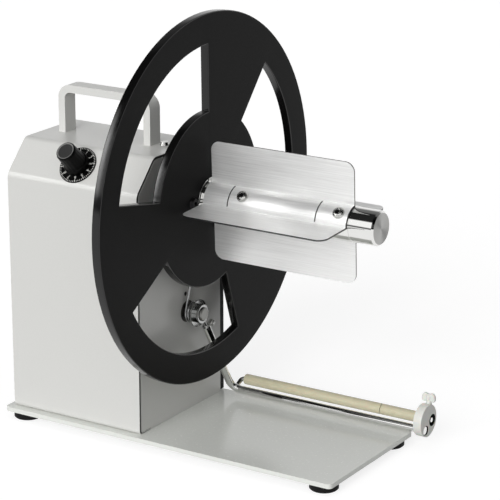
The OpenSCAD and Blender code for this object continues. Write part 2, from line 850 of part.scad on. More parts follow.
module shaft_pulley() {
    color("#b4b6b8") on_axis() pulley(pulley_d, journal_d);
}

// Straight belt runs lie this far inside the true tangent, to cross the arcs cleanly
belt_tuck = 0.02;

// Solid round both pulleys, grown by g, from x0 to x1
module belt_body(g, x0, x1) {
    r1 = pulley_d / 2 + g;
    r2 = motor_pulley_d / 2 + g;
    span = [motor_y, motor_z - axis_z];
    heading = atan2(span[1], span[0]);
    spread = acos((r1 - r2) / norm(span));
    up = [cos(heading + spread), sin(heading + spread)];
    down = [cos(heading - spread), sin(heading - spread)];
    bar_x(2 * r1, x0, x1);
    translate([0, span[0], span[1]]) bar_x(2 * r2, x0, x1);
    slab_x(x0, x1) polygon([
        (r1 - belt_tuck) * up, span + (r2 - belt_tuck) * up,
        span + (r2 - belt_tuck) * down, (r1 - belt_tuck) * down
    ]);
}

belt_lift = 0.3;

module drive_belt() {
    mid = (pulley_x0 + pulley_x1) / 2;
    color("#1d1d1d") on_axis() difference() {
        belt_body(belt_lift + belt_t, mid - belt_w / 2, mid + belt_w / 2);
        belt_body(belt_lift, mid - belt_w / 2 - 1, mid + belt_w / 2 + 1);
    }
}

module bearing_block() {
    seat = bearing_d + 2 * fit_gap;
    front_seat = bearing_xs[0];
    rear_seat = bearing_xs[1] + bearing_w;
    color("#9da0a2") on_axis() difference() {
        union() {
            bar_x(block_flange_d, panel_in - block_flange_t, panel_in);
            bar_x(block_d, block_x0, panel_in);
        }
        bar_x(seat, front_seat, panel_in + 1);
        bar_x(seat, block_x0 - 1, rear_seat);
        bar_x(bearing_d - 4, rear_seat - 1, front_seat + 1);
        for (a = block_screw_angles) rotate([a, 0, 0]) translate([0, block_pcd / 2, 0])
            bar_x(m4 + 0.3, panel_in - block_flange_t - 1, panel_in + 1);
    }
}

module bearing_screws() {
    color("#6c6c6a") on_axis() for (a = block_screw_angles) rotate([a, 0, 0])
        translate([panel_in - block_flange_t, block_pcd / 2, 0]) rotate([0, -90, 0])
            pan_screw(m4, m4_head - 0.5, m4_head_h, block_flange_t + panel_t - 1);
}

// One bearing ring between two diameters with its ball groove
module bearing_ring(d_out, d_in) {
    rotate([0, 90, 0]) rotate_extrude() difference() {
        translate([d_in / 2, 0]) square([(d_out - d_in) / 2, bearing_w]);
        translate([ball_pitch_r, bearing_w / 2]) circle(d = ball_d + 2 * run_gap);
    }
}

module bearing_outer_rings() {
    color("#b7babc") on_axis() for (x = bearing_xs) translate([x, 0, 0])
        bearing_ring(bearing_d, bearing_d - 2 * ring_t);
}

module bearing_inner_rings() {
    color("#b7babc") on_axis() for (x = bearing_xs) translate([x, 0, 0])
        bearing_ring(journal_d + 2 * ring_t, journal_d + 2 * fit_gap);
}

module bearing_balls() {
    color("#d5d7d8") on_axis() for (x = bearing_xs, i = [0:ball_count - 1])
        rotate([360 / ball_count * i, 0, 0])
            translate([x + bearing_w / 2, ball_pitch_r, 0]) sphere(d = ball_d);
}

fin_screw_depth = 5;
clip_groove = 0.8;

module spindle_shaft() {
    end_d = shaft_d - end_relief;
    relief_x = fin_x1 + 1;
    color("#dcdcdb") on_axis() difference() {
        union() {
            bar_x(journal_d, journal_end, shoulder_x + 1);
            bar_x(shaft_d, shoulder_x, relief_x);
            bar_x(end_d, relief_x - 0.5, shaft_reach - shaft_chamfer);
            translate([shaft_reach - shaft_chamfer, 0, 0]) rotate([0, 90, 0])
                cylinder(d1 = end_d, d2 = end_d - 2 * shaft_chamfer, h = shaft_chamfer);
        }
        ring_x(journal_d + 2, journal_d - 2 * clip_groove, pulley_x0 - clip_t - fit_gap, pulley_x0);
        for (a = [45, 225], x = fin_screw_xs) rotate([a + fin_turn, 0, 0])
            translate([x, 0, shaft_d / 2 - fin_screw_depth])
                cylinder(d = m4 + 2 * fit_gap, h = fin_screw_depth + 2);
    }
}

module shaft_clip() {
    color("#55585a") on_axis()
        ring_x(journal_d + 5, journal_d - 2 * clip_groove + 2 * fit_gap, pulley_x0 - clip_t, pulley_x0);
}

// Places of the three disc screws about the spindle
disc_screw_angles = [for (i = [0:2]) disc_screw_phase + 120 * i];
disc_screw_reach = disc_t + flange_t - 1;

module hub_flange() {
    color("#3b3d3f") on_axis() difference() {
        union() {
            bar_x(flange_d, disc_x - flange_t, disc_x);
            bar_x(collar_d, disc_x - flange_t - collar_len, disc_x - flange_t + 1);
        }
        bar_x(shaft_d + 2 * fit_gap, 0, disc_x + 1);
        for (a = disc_screw_angles) rotate([a, 0, 0]) translate([0, disc_screw_r, 0])
            bar_x(m4 + 2 * fit_gap, disc_x1 - disc_screw_reach - free_gap, disc_x + 1);
    }
}

// Window between the middle and the rim, centred on its own Y axis
module window() {
    far = disc_d;
    intersection() {
        difference() {
            circle(window_r);
            circle(disc_hub_r);
        }
        polygon([
            [0, 0], far * [cos(-window_angle / 2), sin(-window_angle / 2)],
            [2 * far, 0], far * [cos(window_angle / 2), sin(window_angle / 2)]
        ]);
    }
}

module reel_disc() {
    r = disc_d / 2;
    c = disc_chamfer;
    color("#1d1d1c") on_axis() difference() {
        translate([disc_x, 0, 0]) rotate([0, 90, 0]) rotate_extrude($fn = 160) polygon([
            [0, 0], [r - c, 0], [r, c], [r, disc_t - c], [r - c, disc_t], [0, disc_t]
        ]);
        bar_x(shaft_d + 2 * fit_gap, disc_x - 1, disc_x1 + 1);
        slab_x(disc_x - 1, disc_x1 + 1) for (i = [0:window_count - 1])
            rotate(window_phase + 360 / window_count * i) window();
        for (a = disc_screw_angles) rotate([a, 0, 0]) translate([0, disc_screw_r, 0])
            bar_x(m4 + 0.3, disc_x - 1, disc_x1 + 1);
    }
}

module front_washer() {
    color("#c9cacb") on_axis() ring_x(washer_d, shaft_d + 2 * fit_gap, disc_x1, disc_x1 + washer_t);
}

module disc_screws() {
    color("#1b1b1b") on_axis() for (a = disc_screw_angles) rotate([a, 0, 0])
        translate([disc_x1, disc_screw_r, 0]) rotate([0, 90, 0])
            button_screw(m4, button_d, button_h, disc_screw_reach);
}

// Sheet folded into a quarter saddle with a fin at each end, saddle from the top to the front
module fin_plate() {
    difference() {
        union() {
            slab_x(fin_x0, fin_x1) intersection() {
                difference() {
                    circle(saddle_out);
                    circle(saddle_in);
                }
                translate([-2 * saddle_out, 0]) square(2 * saddle_out);
            }
            rotate([90, 0, 0]) linear_extrude(fin_t) fin_outline();
            rotate([180, 0, 0]) translate([0, 0, -fin_t]) linear_extrude(fin_t) fin_outline();
        }
        for (x = fin_slit_xs) box([x - slit_w / 2, -saddle_out - 1, fin_t + 0.5],
                                  [x + slit_w / 2, -fin_t - 0.5, saddle_out + 1]);
        for (x = fin_screw_xs) rotate([45, 0, 0]) translate([x, 0, saddle_in - 1])
            cylinder(d = m4 + 0.3, h = fin_t + 2);
    }
}

// Fin seen flat: from the saddle out to the tip, round at its free corners
module fin_outline() {
    difference() {
        round_rect(fin_x0, -fin_r, fin_x1, fin_r, fin_corner);
        translate([fin_x0 - 1, -2 * fin_r]) square([fin_len + 2, 2 * fin_r + saddle_in + fin_t / 2]);
    }
}

module upper_fin() {
    color("#c9cacb") on_axis() rotate([fin_turn, 0, 0]) fin_plate();
}

module lower_fin() {
    color("#c9cacb") on_axis() rotate([180 + fin_turn, 0, 0]) fin_plate();
}

module fin_screws() {
    color("#a4a6a8") on_axis() for (a = [45, 225], x = fin_screw_xs) rotate([a + fin_turn, 0, 0])
        translate([x, 0, saddle_out + fit_gap])
            button_screw(m4, button_d, button_h + 0.4, fin_t + fin_screw_depth - 0.3);
}

module pivot_bush() {
    color("#b08d4c") on_pivot() difference() {
        union() {
            bar_x(bush_d, panel_in - bush_len + 2.5, bush_x1);
            bar_x(bush_flange_d, panel_in - 2, panel_in);
        }
        bar_x(pivot_d + 2 * run_gap, panel_in - bush_len, bush_x1 + 1);
    }
}

module pivot_shaft() {
    color("#c4c4c2") on_pivot() bar_x(pivot_d, cam_x0 - 1, hub_x1 + nut_t / 2);
}

// Local frame of the arm: +Z runs up the rod from the bend corner
module on_arm() {
    translate([arm_x, rod_y, rod_z]) rotate([lean, 0, 0]) children();
}

tail_angle = coil_phase + 45 * coil_eighths;
tail_pin_d = 1.6;

module arm_hub() {
    pin_off = wire_d / 2 + tail_pin_d / 2 + 0.1;
    color("#a2a4a6") difference() {
        union() {
            on_pivot() {
                bar_x(boss_d, boss_x0, hub_x0 + hub_rim_t / 2);
                bar_x(hub_d, hub_x0, hub_x0 + hub_rim_t);
                bar_x(barrel_d, hub_x0 + hub_rim_t / 2, hub_x1);
                rotate([tail_angle, 0, 0]) translate([0, coil_r - pin_off, tail_len * 0.75])
                    bar_x(tail_pin_d, coil_end_x - wire_d / 2, hub_x0 + hub_rim_t / 2);
            }
            on_arm() translate([0, 0, arm_len - stud_r]) cylinder(d = stud_d, h = stud_r - pivot_d / 2);
        }
        on_pivot() bar_x(pivot_d + 2 * fit_gap, 0, hub_x1 + 1);
    }
}

// Cap screw across the rod end, its tip on the stud
module hub_screw() {
    tip = stud_d / 2 + fit_gap;
    color("#2f3133") on_arm() translate([0, 0, arm_len - hub_screw_r]) rotate([-90, 0, 0])
        difference() {
            union() {
                translate([0, 0, tip]) cylinder(d = hub_screw_d, h = hub_screw_reach + 0.5 - tip);
                translate([0, 0, hub_screw_reach]) cylinder(d = hub_screw_head, h = hub_screw_head_h);
            }
            translate([0, 0, hub_screw_reach + hub_screw_head_h / 2])
                cylinder(d = hub_screw_head / 2, h = hub_screw_head_h, $fn = 6);
        }
}

module pivot_nut() {
    color("#c9cacb") on_pivot() translate([hub_x1, 0, 0]) rotate([0, 90, 0]) difference() {
        rotate_extrude() polygon([
            [0, 0], [nut_d / 2, 0], [nut_d / 2, nut_t * 0.4], [nut_d / 2 - nut_t * 0.6, nut_t], [0, nut_t]
        ]);
        translate([0, 0, -1]) cylinder(d = pivot_d + 2 * fit_gap, h = 1 + nut_t * 0.6);
    }
}

// Quarter bend of a round bar in the X and Z plane, about the local origin, from angle a
module quarter_bend(d, r, a) {
    rotate([90, 0, 0]) rotate([0, 0, a]) rotate_extrude(angle = 90) translate([r, 0]) circle(d = d);
}

module arm_rod() {
    color("#d9dada") difference() {
        union() {
            on_arm() {
                translate([0, 0, rod_bend]) cylinder(d = rod_d, h = arm_len - rod_top_r - rod_bend);
                translate([rod_bend, 0, rod_bend]) quarter_bend(rod_d, rod_bend, 180);
            }
            translate([0, rod_y, rod_z]) bar_x(rod_d, arm_x + rod_bend, rod_end);
            translate([axle_x, rod_y, rod_z]) rotate([axle_tilt, 0, 0]) {
                cylinder(d = axle_d, h = axle_reach - axle_bend);
                translate([axle_bend, 0, axle_reach - axle_bend]) quarter_bend(axle_d, axle_bend, 90);
            }
            translate([0, roller_y, roller_z]) bar_x(axle_d, axle_x + axle_bend, rod_end);
        }
        on_arm() translate([0, 0, arm_len - stud_r - free_gap])
            cylinder(d = stud_d + 2 * fit_gap, h = stud_r);
        on_arm() translate([0, 0, arm_len - hub_screw_r]) rotate([-90, 0, 0])
            cylinder(d = hub_screw_d + 2 * fit_gap, h = rod_d);
    }
}

module roller_tube() {
    color("#dcd2aa") translate([0, roller_y, roller_z])
        ring_x(roller_d, axle_d + 2 * run_gap, roller_x0, roller_x0 + roller_len);
}

module roller_sleeve() {
    color("#d6cda6") translate([0, roller_y, roller_z])
        ring_x(roller_d, axle_d + 2 * run_gap, sleeve_x0, sleeve_x1);
}

module edge_guide() {
    color("#cdcec8") difference() {
        translate([0, guide_y, guide_z]) bar_x(guide_d, guide_x0, guide_x1);
        translate([0, rod_y, rod_z]) bar_x(rod_d + 2 * run_gap, guide_x0 - 1, guide_x1 + 1);
        translate([0, rod_y, rod_z]) bar_x(rod_d + rod_sink_play, guide_x1 - rod_sink, guide_x1 + 1);
        translate([0, roller_y, roller_z]) bar_x(roller_d + 2 * free_gap, guide_x0 - 1, guide_x1 + 1);
        translate([wing_x, roller_y, roller_z])
            cylinder(d = wing_stem_d + 2 * run_gap, h = guide_d);
    }
}

module wing_screw() {
    tip = roller_z + roller_d / 2 + free_gap + 0.3;
    neck_z = guide_top + wing_neck_gap;
    lobe_z = guide_top + wing_gap + wing_lobe / 2;
    color("#d9d9d2") translate([wing_x, roller_y, 0]) {
        translate([0, 0, tip]) cylinder(d = wing_stem_d, h = lobe_z - tip);
        translate([0, 0, neck_z]) cylinder(d = wing_neck_d, h = lobe_z - neck_z);
        translate([0, 0, lobe_z]) rotate([90, 0, 0]) linear_extrude(wing_t, center = true)
            for (s = [-1, 1]) translate([s * (wing_span - wing_lobe) / 2, 0]) circle(d = wing_lobe);
    }
}

// Spring centre line about the pivot: plate leg, coil, then a straight tail on the hub
function coil_point(i) = [
    coil_x0 + coil_pitch * i / 8,
    coil_r * cos(coil_phase + 45 * i),
    coil_r * sin(coil_phase + 45 * i)
];
function coil_way(i) = [0, -sin(coil_phase + 45 * i), cos(coil_phase + 45 * i)];
leg_top = coil_point(0) - leg_len * coil_way(0);
spring_points = concat(
    [leg_top, leg_top + wire_d * coil_way(0), coil_point(0) - wire_d * coil_way(0)],
    [for (i = [0:coil_eighths]) coil_point(i)],
    [coil_point(coil_eighths) + tail_len / 2 * coil_way(coil_eighths),
     coil_point(coil_eighths) + tail_len * coil_way(coil_eighths)]
);
function unit(v) = v / norm(v);
function path_way(pts, i) = unit(pts[min(i + 1, len(pts) - 1)] - pts[max(i - 1, 0)]);
function ring_points(pts, i) = let(
    way = path_way(pts, i),
    side = unit(cross(way, [1, 0, 0])),
    over = cross(side, way)
) [for (k = [0:wire_sides - 1])
    pts[i] + wire_d / 2 * (cos(360 / wire_sides * k) * side + sin(360 / wire_sides * k) * over)];
ring_skip = 5;
spring_gap = min([
    for (i = [0:len(spring_points) - 1], j = [i + ring_skip:1:len(spring_points) - 1])
        norm(spring_points[i] - spring_points[j])
]) - wire_d;
echo(spring_least_gap_mm = spring_gap);

// Tube of triangles along a list of points
module tube(pts) {
    last = len(pts) - 1;
    n = wire_sides;
    walls = [
        for (i = [0:last - 1], k = [0:n - 1], h = [0, 1])
            h == 0 ? [i * n + k, i * n + (k + 1) % n, (i + 1) * n + k]
                   : [i * n + (k + 1) % n, (i + 1) * n + (k + 1) % n, (i + 1) * n + k]
    ];
    ends = [
        for (k = [1:n - 2], h = [0, 1])
            h == 0 ? [0, k + 1, k] : [last * n, last * n + k, last * n + k + 1]
    ];
    polyhedron([for (i = [0:last]) each ring_points(pts, i)], concat(walls, ends));
}

module arm_spring() {
    color("#8e9092") on_pivot() tube(spring_points);
}

// Post at the front side of the spring leg, near its end
anchor_gap = wire_d / 2 + anchor_d / 2 + 0.06;
anchor_on_leg = leg_top + 3 * coil_way(0);
anchor_place = [
    anchor_on_leg[1] + anchor_gap * cos(coil_phase), anchor_on_leg[2] + anchor_gap * sin(coil_phase)
];

module spring_anchor() {
    x1 = coil_x0 + wire_d / 2 + 0.5;
    color("#b9b9b7") on_pivot() translate([0, anchor_place[0], anchor_place[1]]) {
        bar_x(anchor_d, -panel_t, x1);
        bar_x(anchor_d + 2, x1, x1 + 1.2);
    }
}

module switch_cam() {
    color("#3a3c3e") on_pivot() difference() {
        union() {
            bar_x(cam_d, cam_x0, cam_x1);
            rotate([cam_angle, 0, 0])
                box([cam_x0, cam_d / 2 - 1.5, -cam_lever_w / 2], [cam_x1, cam_lever, cam_lever_w / 2]);
        }
        bar_x(pivot_d + 2 * fit_gap, cam_x0 - 1, cam_x1 + 1);
    }
}

module cam_stop() {
    color("#9a9a98") on_pivot() rotate([cam_angle, 0, 0])
        translate([0, stop_r, -(cam_lever_w + stop_d) / 2 - free_gap])
            bar_x(stop_d, cam_x0, panel_in);
}

switch_post_ys = [switch_y0 + 5, switch_y0 + 15];

module arm_switch() {
    strip_z = switch_z0 - 1.5;
    color("#27292b") difference() {
        union() {
            box([cam_x0, switch_y0, switch_z0], [cam_x1, switch_y0 + switch_len, switch_z0 + switch_h]);
            box([cam_x0 + 1, switch_y0, strip_z],
                [cam_x1 - 1, switch_y0 + switch_len - 1, strip_z + switch_strip]);
            box([cam_x0 + 1, switch_y0 + switch_len - 3, strip_z],
                [cam_x1 - 1, switch_y0 + switch_len - 1, switch_z0 + 0.5]);
        }
        for (y = switch_post_ys) translate([0, y, switch_z0 + switch_h / 2])
            bar_x(switch_stud_d + 2 * fit_gap, cam_x0 - 1, cam_x1 + 1);
    }
}

module switch_posts() {
    color("#9a9a98") for (y = switch_post_ys) translate([0, y, switch_z0 + switch_h / 2]) {
        bar_x(switch_post_d, cam_x1, panel_in);
        bar_x(switch_stud_d, cam_x0 - 1, cam_x1 + 1);
    }
}

board_points = [
    for (y = [board_hole_inset, board_w - board_hole_inset], z = [board_hole_inset, board_h - board_hole_inset])
        [board_y0 + y, board_z0 + z]
];

// Square component on the board face at x1, from its corner and its size
module block_on_board(x1, corner, size) {
    y0 = board_y0 + corner[0];
    z0 = board_z0 + corner[1];
    box([x1 - 0.1, y0, z0], [x1 + size[0], y0 + size[1], z0 + size[2]]);
}

module control_board() {
    x1 = board_x0 + board_t;
    color("#2f5d3a") difference() {
        union() {
            box([board_x0, board_y0, board_z0], [x1, board_y0 + board_w, board_z0 + board_h]);
            block_on_board(x1, relay_at, relay_size);
            block_on_board(x1, terminal_at, terminal_size);
            translate([0, board_y0 + capacitor_at[0], board_z0 + capacitor_at[1]])
                bar_x(capacitor_d, x1 - 0.1, x1 + capacitor_h);
        }
        for (p = board_points) translate([0, p[0], p[1]]) bar_x(m3 + 0.3, board_x0 - 1, x1 + 1);
    }
}

module board_posts() {
    color("#b08d4c") for (p = board_points) translate([0, p[0], p[1]])
        ring_x(post_d, m3 + 2 * fit_gap, left_in, board_x0);
}

module board_screws() {
    reach = board_t + board_x0 - left_in;
    color("#9a9a98") for (p = board_points) translate([board_x0 + board_t, p[0], p[1]])
        rotate([0, 90, 0]) pan_screw(m3, m3_head - 0.5, m3_head_h, reach);
}

jack_flange_d = jack_d + 3;
jack_bore_d = 6.4;
jack_pin_d = 2.1;
jack_depth = 10;

module power_jack() {
    color("#222222") translate([jack_x, 0, jack_z]) rotate([-90, 0, 0]) {
        difference() {
            union() {
                translate([0, 0, rear_y1]) cylinder(d = jack_flange_d, h = 2);
                translate([0, 0, rear_y1 - 14]) cylinder(d = jack_d, h = 15);
            }
            translate([0, 0, rear_y1 + 2 - jack_depth]) cylinder(d = jack_bore_d, h = jack_depth + 1);
        }
        translate([0, 0, rear_y1 + 1 - jack_depth]) cylinder(d = jack_pin_d, h = jack_depth - 1);
    }
}

// Case of the switch with its bezel, rocker cavity and pin holes
module switch_body() {
    bezel = 1.2;
    color("#1c1c1c") translate([rocker_x, 0, rocker_z]) difference() {
        union() {
            box([-rocker_case_w / 2, rear_y1 - 15, -rocker_case_h / 2],
                [rocker_case_w / 2, rear_y1 + 1, rocker_case_h / 2]);
            box([-rocker_case_w / 2 - bezel, rear_y1, -rocker_case_h / 2 - bezel],
                [rocker_case_w / 2 + bezel, rear_y1 + 2, rocker_case_h / 2 + bezel]);
        }
        box([-rocker_w / 2 - free_gap, rear_y1 - 6, -rocker_h / 2 - 1],
            [rocker_w / 2 + free_gap, rear_y1 + 3, rocker_h / 2 + 1]);
        translate([0, rocker_pivot_y, 0])
            bar_x(rocker_pin_d + 2 * run_gap, -rocker_pin_reach - 0.1, rocker_pin_reach + 0.1);
    }
}

module switch_rocker() {
    half = rocker_h / 2;
    color("#0f0f0f") translate([rocker_x, rocker_pivot_y, rocker_z]) rotate([rocker_rest, 0, 0]) {
        slab_x(-rocker_w / 2, rocker_w / 2) polygon([
            [-3, -half + 1.6], [2.5, -half], [1.8, 0], [2.5, half], [-3, half - 1.6]
        ]);
        bar_x(rocker_pin_d, -rocker_pin_reach, rocker_pin_reach);
    }
}

placed() base_plate();
placed() rubber_feet();
placed() foot_screws();
placed() base_screws();
placed() folded_cover();
placed() spindle_panel();
placed() left_panel();
placed() rear_cover();
placed() cover_screws();
placed() rear_screws();
placed() carry_handle();
placed() handle_screws();
placed() dial_plate();
placed() potentiometer();
placed() pot_nut();
placed() pot_shaft();
placed() speed_knob();
placed() gear_motor();
placed() motor_bracket();
placed() motor_screws();
placed() motor_shaft();
placed() motor_pulley();
placed() drive_belt();
placed() bearing_block();
placed() bearing_screws();
placed() bearing_outer_rings();
placed() bearing_balls();
placed() bearing_inner_rings();
placed() spindle_shaft();
placed() shaft_pulley();
placed() shaft_clip();
placed() hub_flange();
placed() reel_disc();
placed() front_washer();
placed() disc_screws();
placed() upper_fin();
placed() lower_fin();
placed() fin_screws();
placed() pivot_bush();
placed() pivot_shaft();
placed() arm_hub();
placed() hub_screw();
placed() pivot_nut();
placed() arm_rod();
placed() roller_tube();
placed() roller_sleeve();
placed() edge_guide();
placed() wing_screw();
placed() arm_spring();
placed() spring_anchor();
placed() switch_cam();
placed() cam_stop();
placed() arm_switch();
placed() switch_posts();
placed() control_board();
placed() board_posts();
placed() board_screws();
placed() power_jack();
placed() switch_body();
placed() switch_rocker();
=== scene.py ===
"""Looks of the label rewinder: powder-coated housing, black disc, brushed fins, chrome spindle and arm."""

import json
import math

import bmesh
import bpy
from mathutils import Matrix, Vector

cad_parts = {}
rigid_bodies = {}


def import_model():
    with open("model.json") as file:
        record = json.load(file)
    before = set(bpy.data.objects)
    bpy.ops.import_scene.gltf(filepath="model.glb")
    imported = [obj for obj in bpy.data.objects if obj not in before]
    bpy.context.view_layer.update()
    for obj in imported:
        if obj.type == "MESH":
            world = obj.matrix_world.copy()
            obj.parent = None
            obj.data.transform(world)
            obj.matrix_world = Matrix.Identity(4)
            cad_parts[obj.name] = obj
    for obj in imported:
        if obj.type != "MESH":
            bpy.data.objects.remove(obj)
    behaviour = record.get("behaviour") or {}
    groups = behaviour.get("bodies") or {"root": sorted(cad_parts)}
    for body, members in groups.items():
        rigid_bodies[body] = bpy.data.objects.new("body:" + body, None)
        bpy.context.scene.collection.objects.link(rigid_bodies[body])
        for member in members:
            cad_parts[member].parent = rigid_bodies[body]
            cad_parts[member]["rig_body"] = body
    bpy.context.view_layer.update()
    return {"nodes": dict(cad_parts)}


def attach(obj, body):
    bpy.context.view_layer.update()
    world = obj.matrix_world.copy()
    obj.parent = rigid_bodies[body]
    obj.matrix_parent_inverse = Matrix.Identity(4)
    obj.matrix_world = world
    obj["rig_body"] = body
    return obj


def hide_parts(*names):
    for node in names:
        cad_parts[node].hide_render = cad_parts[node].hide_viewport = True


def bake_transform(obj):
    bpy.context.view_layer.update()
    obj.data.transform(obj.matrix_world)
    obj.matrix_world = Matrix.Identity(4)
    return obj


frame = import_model()
nodes = frame["nodes"]
scene = bpy.context.scene
scene.view_settings.view_transform = "Standard"

# Sizes are in mm, in the machine frame of the part's source: X = 0 on the spindle side plate,
# Y = 0 on the spindle axis, Z = 0 on the base plate. TO_PART takes that frame to the part's, in metres.
MM = 0.001
SHIFT = Vector((-26.33125, 0.0, 8.0))
TO_PART = Matrix.Scale(MM, 4) @ Matrix.Translation(SHIFT)
TO_MACHINE = TO_PART.inverted()
AXIS_Z = 145.0
# Points closer than this are one point
MERGE = 0.001
FULL_TURN = 2 * math.pi
WHITE = (1.0, 1.0, 1.0, 1.0)


# Light, floor and camera

def linear(hex_colour):
    """An sRGB hex colour as linear RGBA."""
    values = [int(hex_colour[i:i + 2], 16) / 255 for i in (1, 3, 5)]
    return [v / 12.92 if v <= 0.04045 else ((v + 0.055) / 1.055) ** 2.4 for v in values] + [1.0]


def node(tree, kind, settings=None, **links):
    """Adds one shader node, sets its properties and input values, and links the sockets given."""
    made = tree.nodes.new(kind)
    for key, value in (settings or {}).items():
        if key.startswith("in:"):
            name = key[3:]
            made.inputs[int(name) if name.isdigit() else name].default_value = value
        else:
            setattr(made, key, value)
    for key, source in links.items():
        by_number = key[0] == "i" and key[1:].isdigit()
        socket = made.inputs[int(key[1:]) if by_number else key.replace("_", " ")]
        tree.links.new(source, socket)
    return made


def set_stops(made, stops):
    """Gives a colour ramp its (place, grey value) stops."""
    elements = made.color_ramp.elements
    while len(elements) < len(stops):
        elements.new(0.5)
    for element, (place, grey) in zip(elements, stops):
        element.position = place
        element.color = (grey, grey, grey, 1.0)


# What metal mirrors, by the angle over the spindle's line: degrees up from the front, and brightness.
# A white front card, a dark ceiling and a grey back wall give the turned metal its bands.
STUDIO_BANDS = [(-180, 1.0), (-1, 1.0), (1, 0.1), (7, 0.1), (12, 1.15), (44, 1.15), (49, 0.02),
                (106, 0.02), (113, 0.14), (140, 0.2), (152, 0.8), (165, 1.0), (172, 1.0), (180, 1.0)]
# Black flags stand at both sides. They begin and end at these shares of a mirrored ray's way along X.
FLAG_FROM, FLAG_TO, FLAG_GREY = 0.64, 0.8, 0.06
# A strip light stands at the front left: share of a mirrored ray's way along X, degrees up, and strength
STRIP_SIDE = [(-1.0, 0.0), (-0.72, 0.0), (-0.67, 1.0), (-0.575, 1.0), (-0.555, 0.0), (1.0, 0.0)]
STRIP_UP = [(-180, 0.0), (6, 0.0), (12, 0.5), (34, 1.0), (46, 1.0), (58, 0.4), (66, 0.0), (180, 0.0)]
STRIP_POWER = 6.5
# The even light comes mostly from the front and above: way to it, least and most strength
SOFT_WAY, SOFT_LEAST, SOFT_MOST = (0.25, -0.8, 0.54), 0.0, 0.5
# Name, strength, spread in degrees and way of each lamp
LAMPS = [("front_card", 2.3, 40, (-0.08, 0.93, -0.35)), ("ceiling_card", 0.2, 40, (0.2, 0.1, -1.0))]


def light_studio():
    """Pale room: even light on the part, and white cards, a strip light and a dark ceiling to mirror."""
    world = bpy.data.worlds.new("studio")
    scene.world = world
    world.use_nodes = True
    tree = world.node_tree
    tree.nodes.clear()
    coords = node(tree, "ShaderNodeTexCoord")
    path = node(tree, "ShaderNodeLightPath")
    split = node(tree, "ShaderNodeSeparateXYZ", Vector=coords.outputs["Generated"])
    front = node(tree, "ShaderNodeMath", {"operation": "MULTIPLY", "in:1": -1.0}, i0=split.outputs["Y"])
    angle = node(tree, "ShaderNodeMath", {"operation": "ARCTAN2"},
                 i0=split.outputs["Z"], i1=front.outputs[0])
    place = node(tree, "ShaderNodeMapRange", {"in:From Min": -math.pi, "in:From Max": math.pi},
                 Value=angle.outputs[0])

    bands = node(tree, "ShaderNodeValToRGB", Fac=place.outputs[0])
    set_stops(bands, [((degrees + 180) / 360, grey) for degrees, grey in STUDIO_BANDS])
    aside = node(tree, "ShaderNodeMath", {"operation": "ABSOLUTE"}, i0=split.outputs["X"])
    flags = node(tree, "ShaderNodeMapRange",
                 {"in:From Min": FLAG_FROM, "in:From Max": FLAG_TO, "in:To Min": 1.0, "in:To Max": FLAG_GREY},
                 Value=aside.outputs[0])
    cards = node(tree, "ShaderNodeBackground", Color=bands.outputs["Color"], Strength=flags.outputs[0])

    across = node(tree, "ShaderNodeMapRange", {"in:From Min": -1.0}, Value=split.outputs["X"])
    strip_side = node(tree, "ShaderNodeValToRGB", Fac=across.outputs[0])
    set_stops(strip_side, [((share + 1) / 2, grey) for share, grey in STRIP_SIDE])
    strip_up = node(tree, "ShaderNodeValToRGB", Fac=place.outputs[0])
    set_stops(strip_up, [((degrees + 180) / 360, grey) for degrees, grey in STRIP_UP])
    power = node(tree, "ShaderNodeMath", {"operation": "MULTIPLY", "in:1": STRIP_POWER},
                 i0=strip_side.outputs["Color"])
    strip = node(tree, "ShaderNodeBackground", Color=strip_up.outputs["Color"], Strength=power.outputs[0])
    room = node(tree, "ShaderNodeAddShader", i0=cards.outputs[0], i1=strip.outputs[0])

    facing = node(tree, "ShaderNodeVectorMath", {"operation": "DOT_PRODUCT", "in:1": SOFT_WAY},
                  i0=coords.outputs["Generated"])
    level = node(tree, "ShaderNodeMapRange",
                 {"in:From Min": -1.0, "in:To Min": SOFT_LEAST, "in:To Max": SOFT_MOST},
                 Value=facing.outputs["Value"])
    soft = node(tree, "ShaderNodeBackground", {"in:Color": WHITE}, Strength=level.outputs[0])
    mirrored = node(tree, "ShaderNodeMixShader", Fac=path.outputs["Is Glossy Ray"], i1=soft.outputs[0],
                    i2=room.outputs[0])
    seen = node(tree, "ShaderNodeMath", {"operation": "MAXIMUM"}, i0=path.outputs["Is Camera Ray"],
                i1=path.outputs["Is Transmission Ray"])
    white = node(tree, "ShaderNodeBackground", {"in:Color": WHITE, "in:Strength": 1.0})
    both = node(tree, "ShaderNodeMixShader", Fac=seen.outputs[0], i1=mirrored.outputs[0],
                i2=white.outputs[0])
    node(tree, "ShaderNodeOutputWorld", Surface=both.outputs[0])

    for name, energy, spread, way in LAMPS:
        lamp = bpy.data.lights.new(name, "SUN")
        lamp.energy = energy
        lamp.angle = math.radians(spread)
        placed = bpy.data.objects.new(name, lamp)
        placed.rotation_euler = Vector(way).to_track_quat("-Z", "Y").to_euler()
        placed.visible_glossy = False
        scene.collection.objects.link(placed)


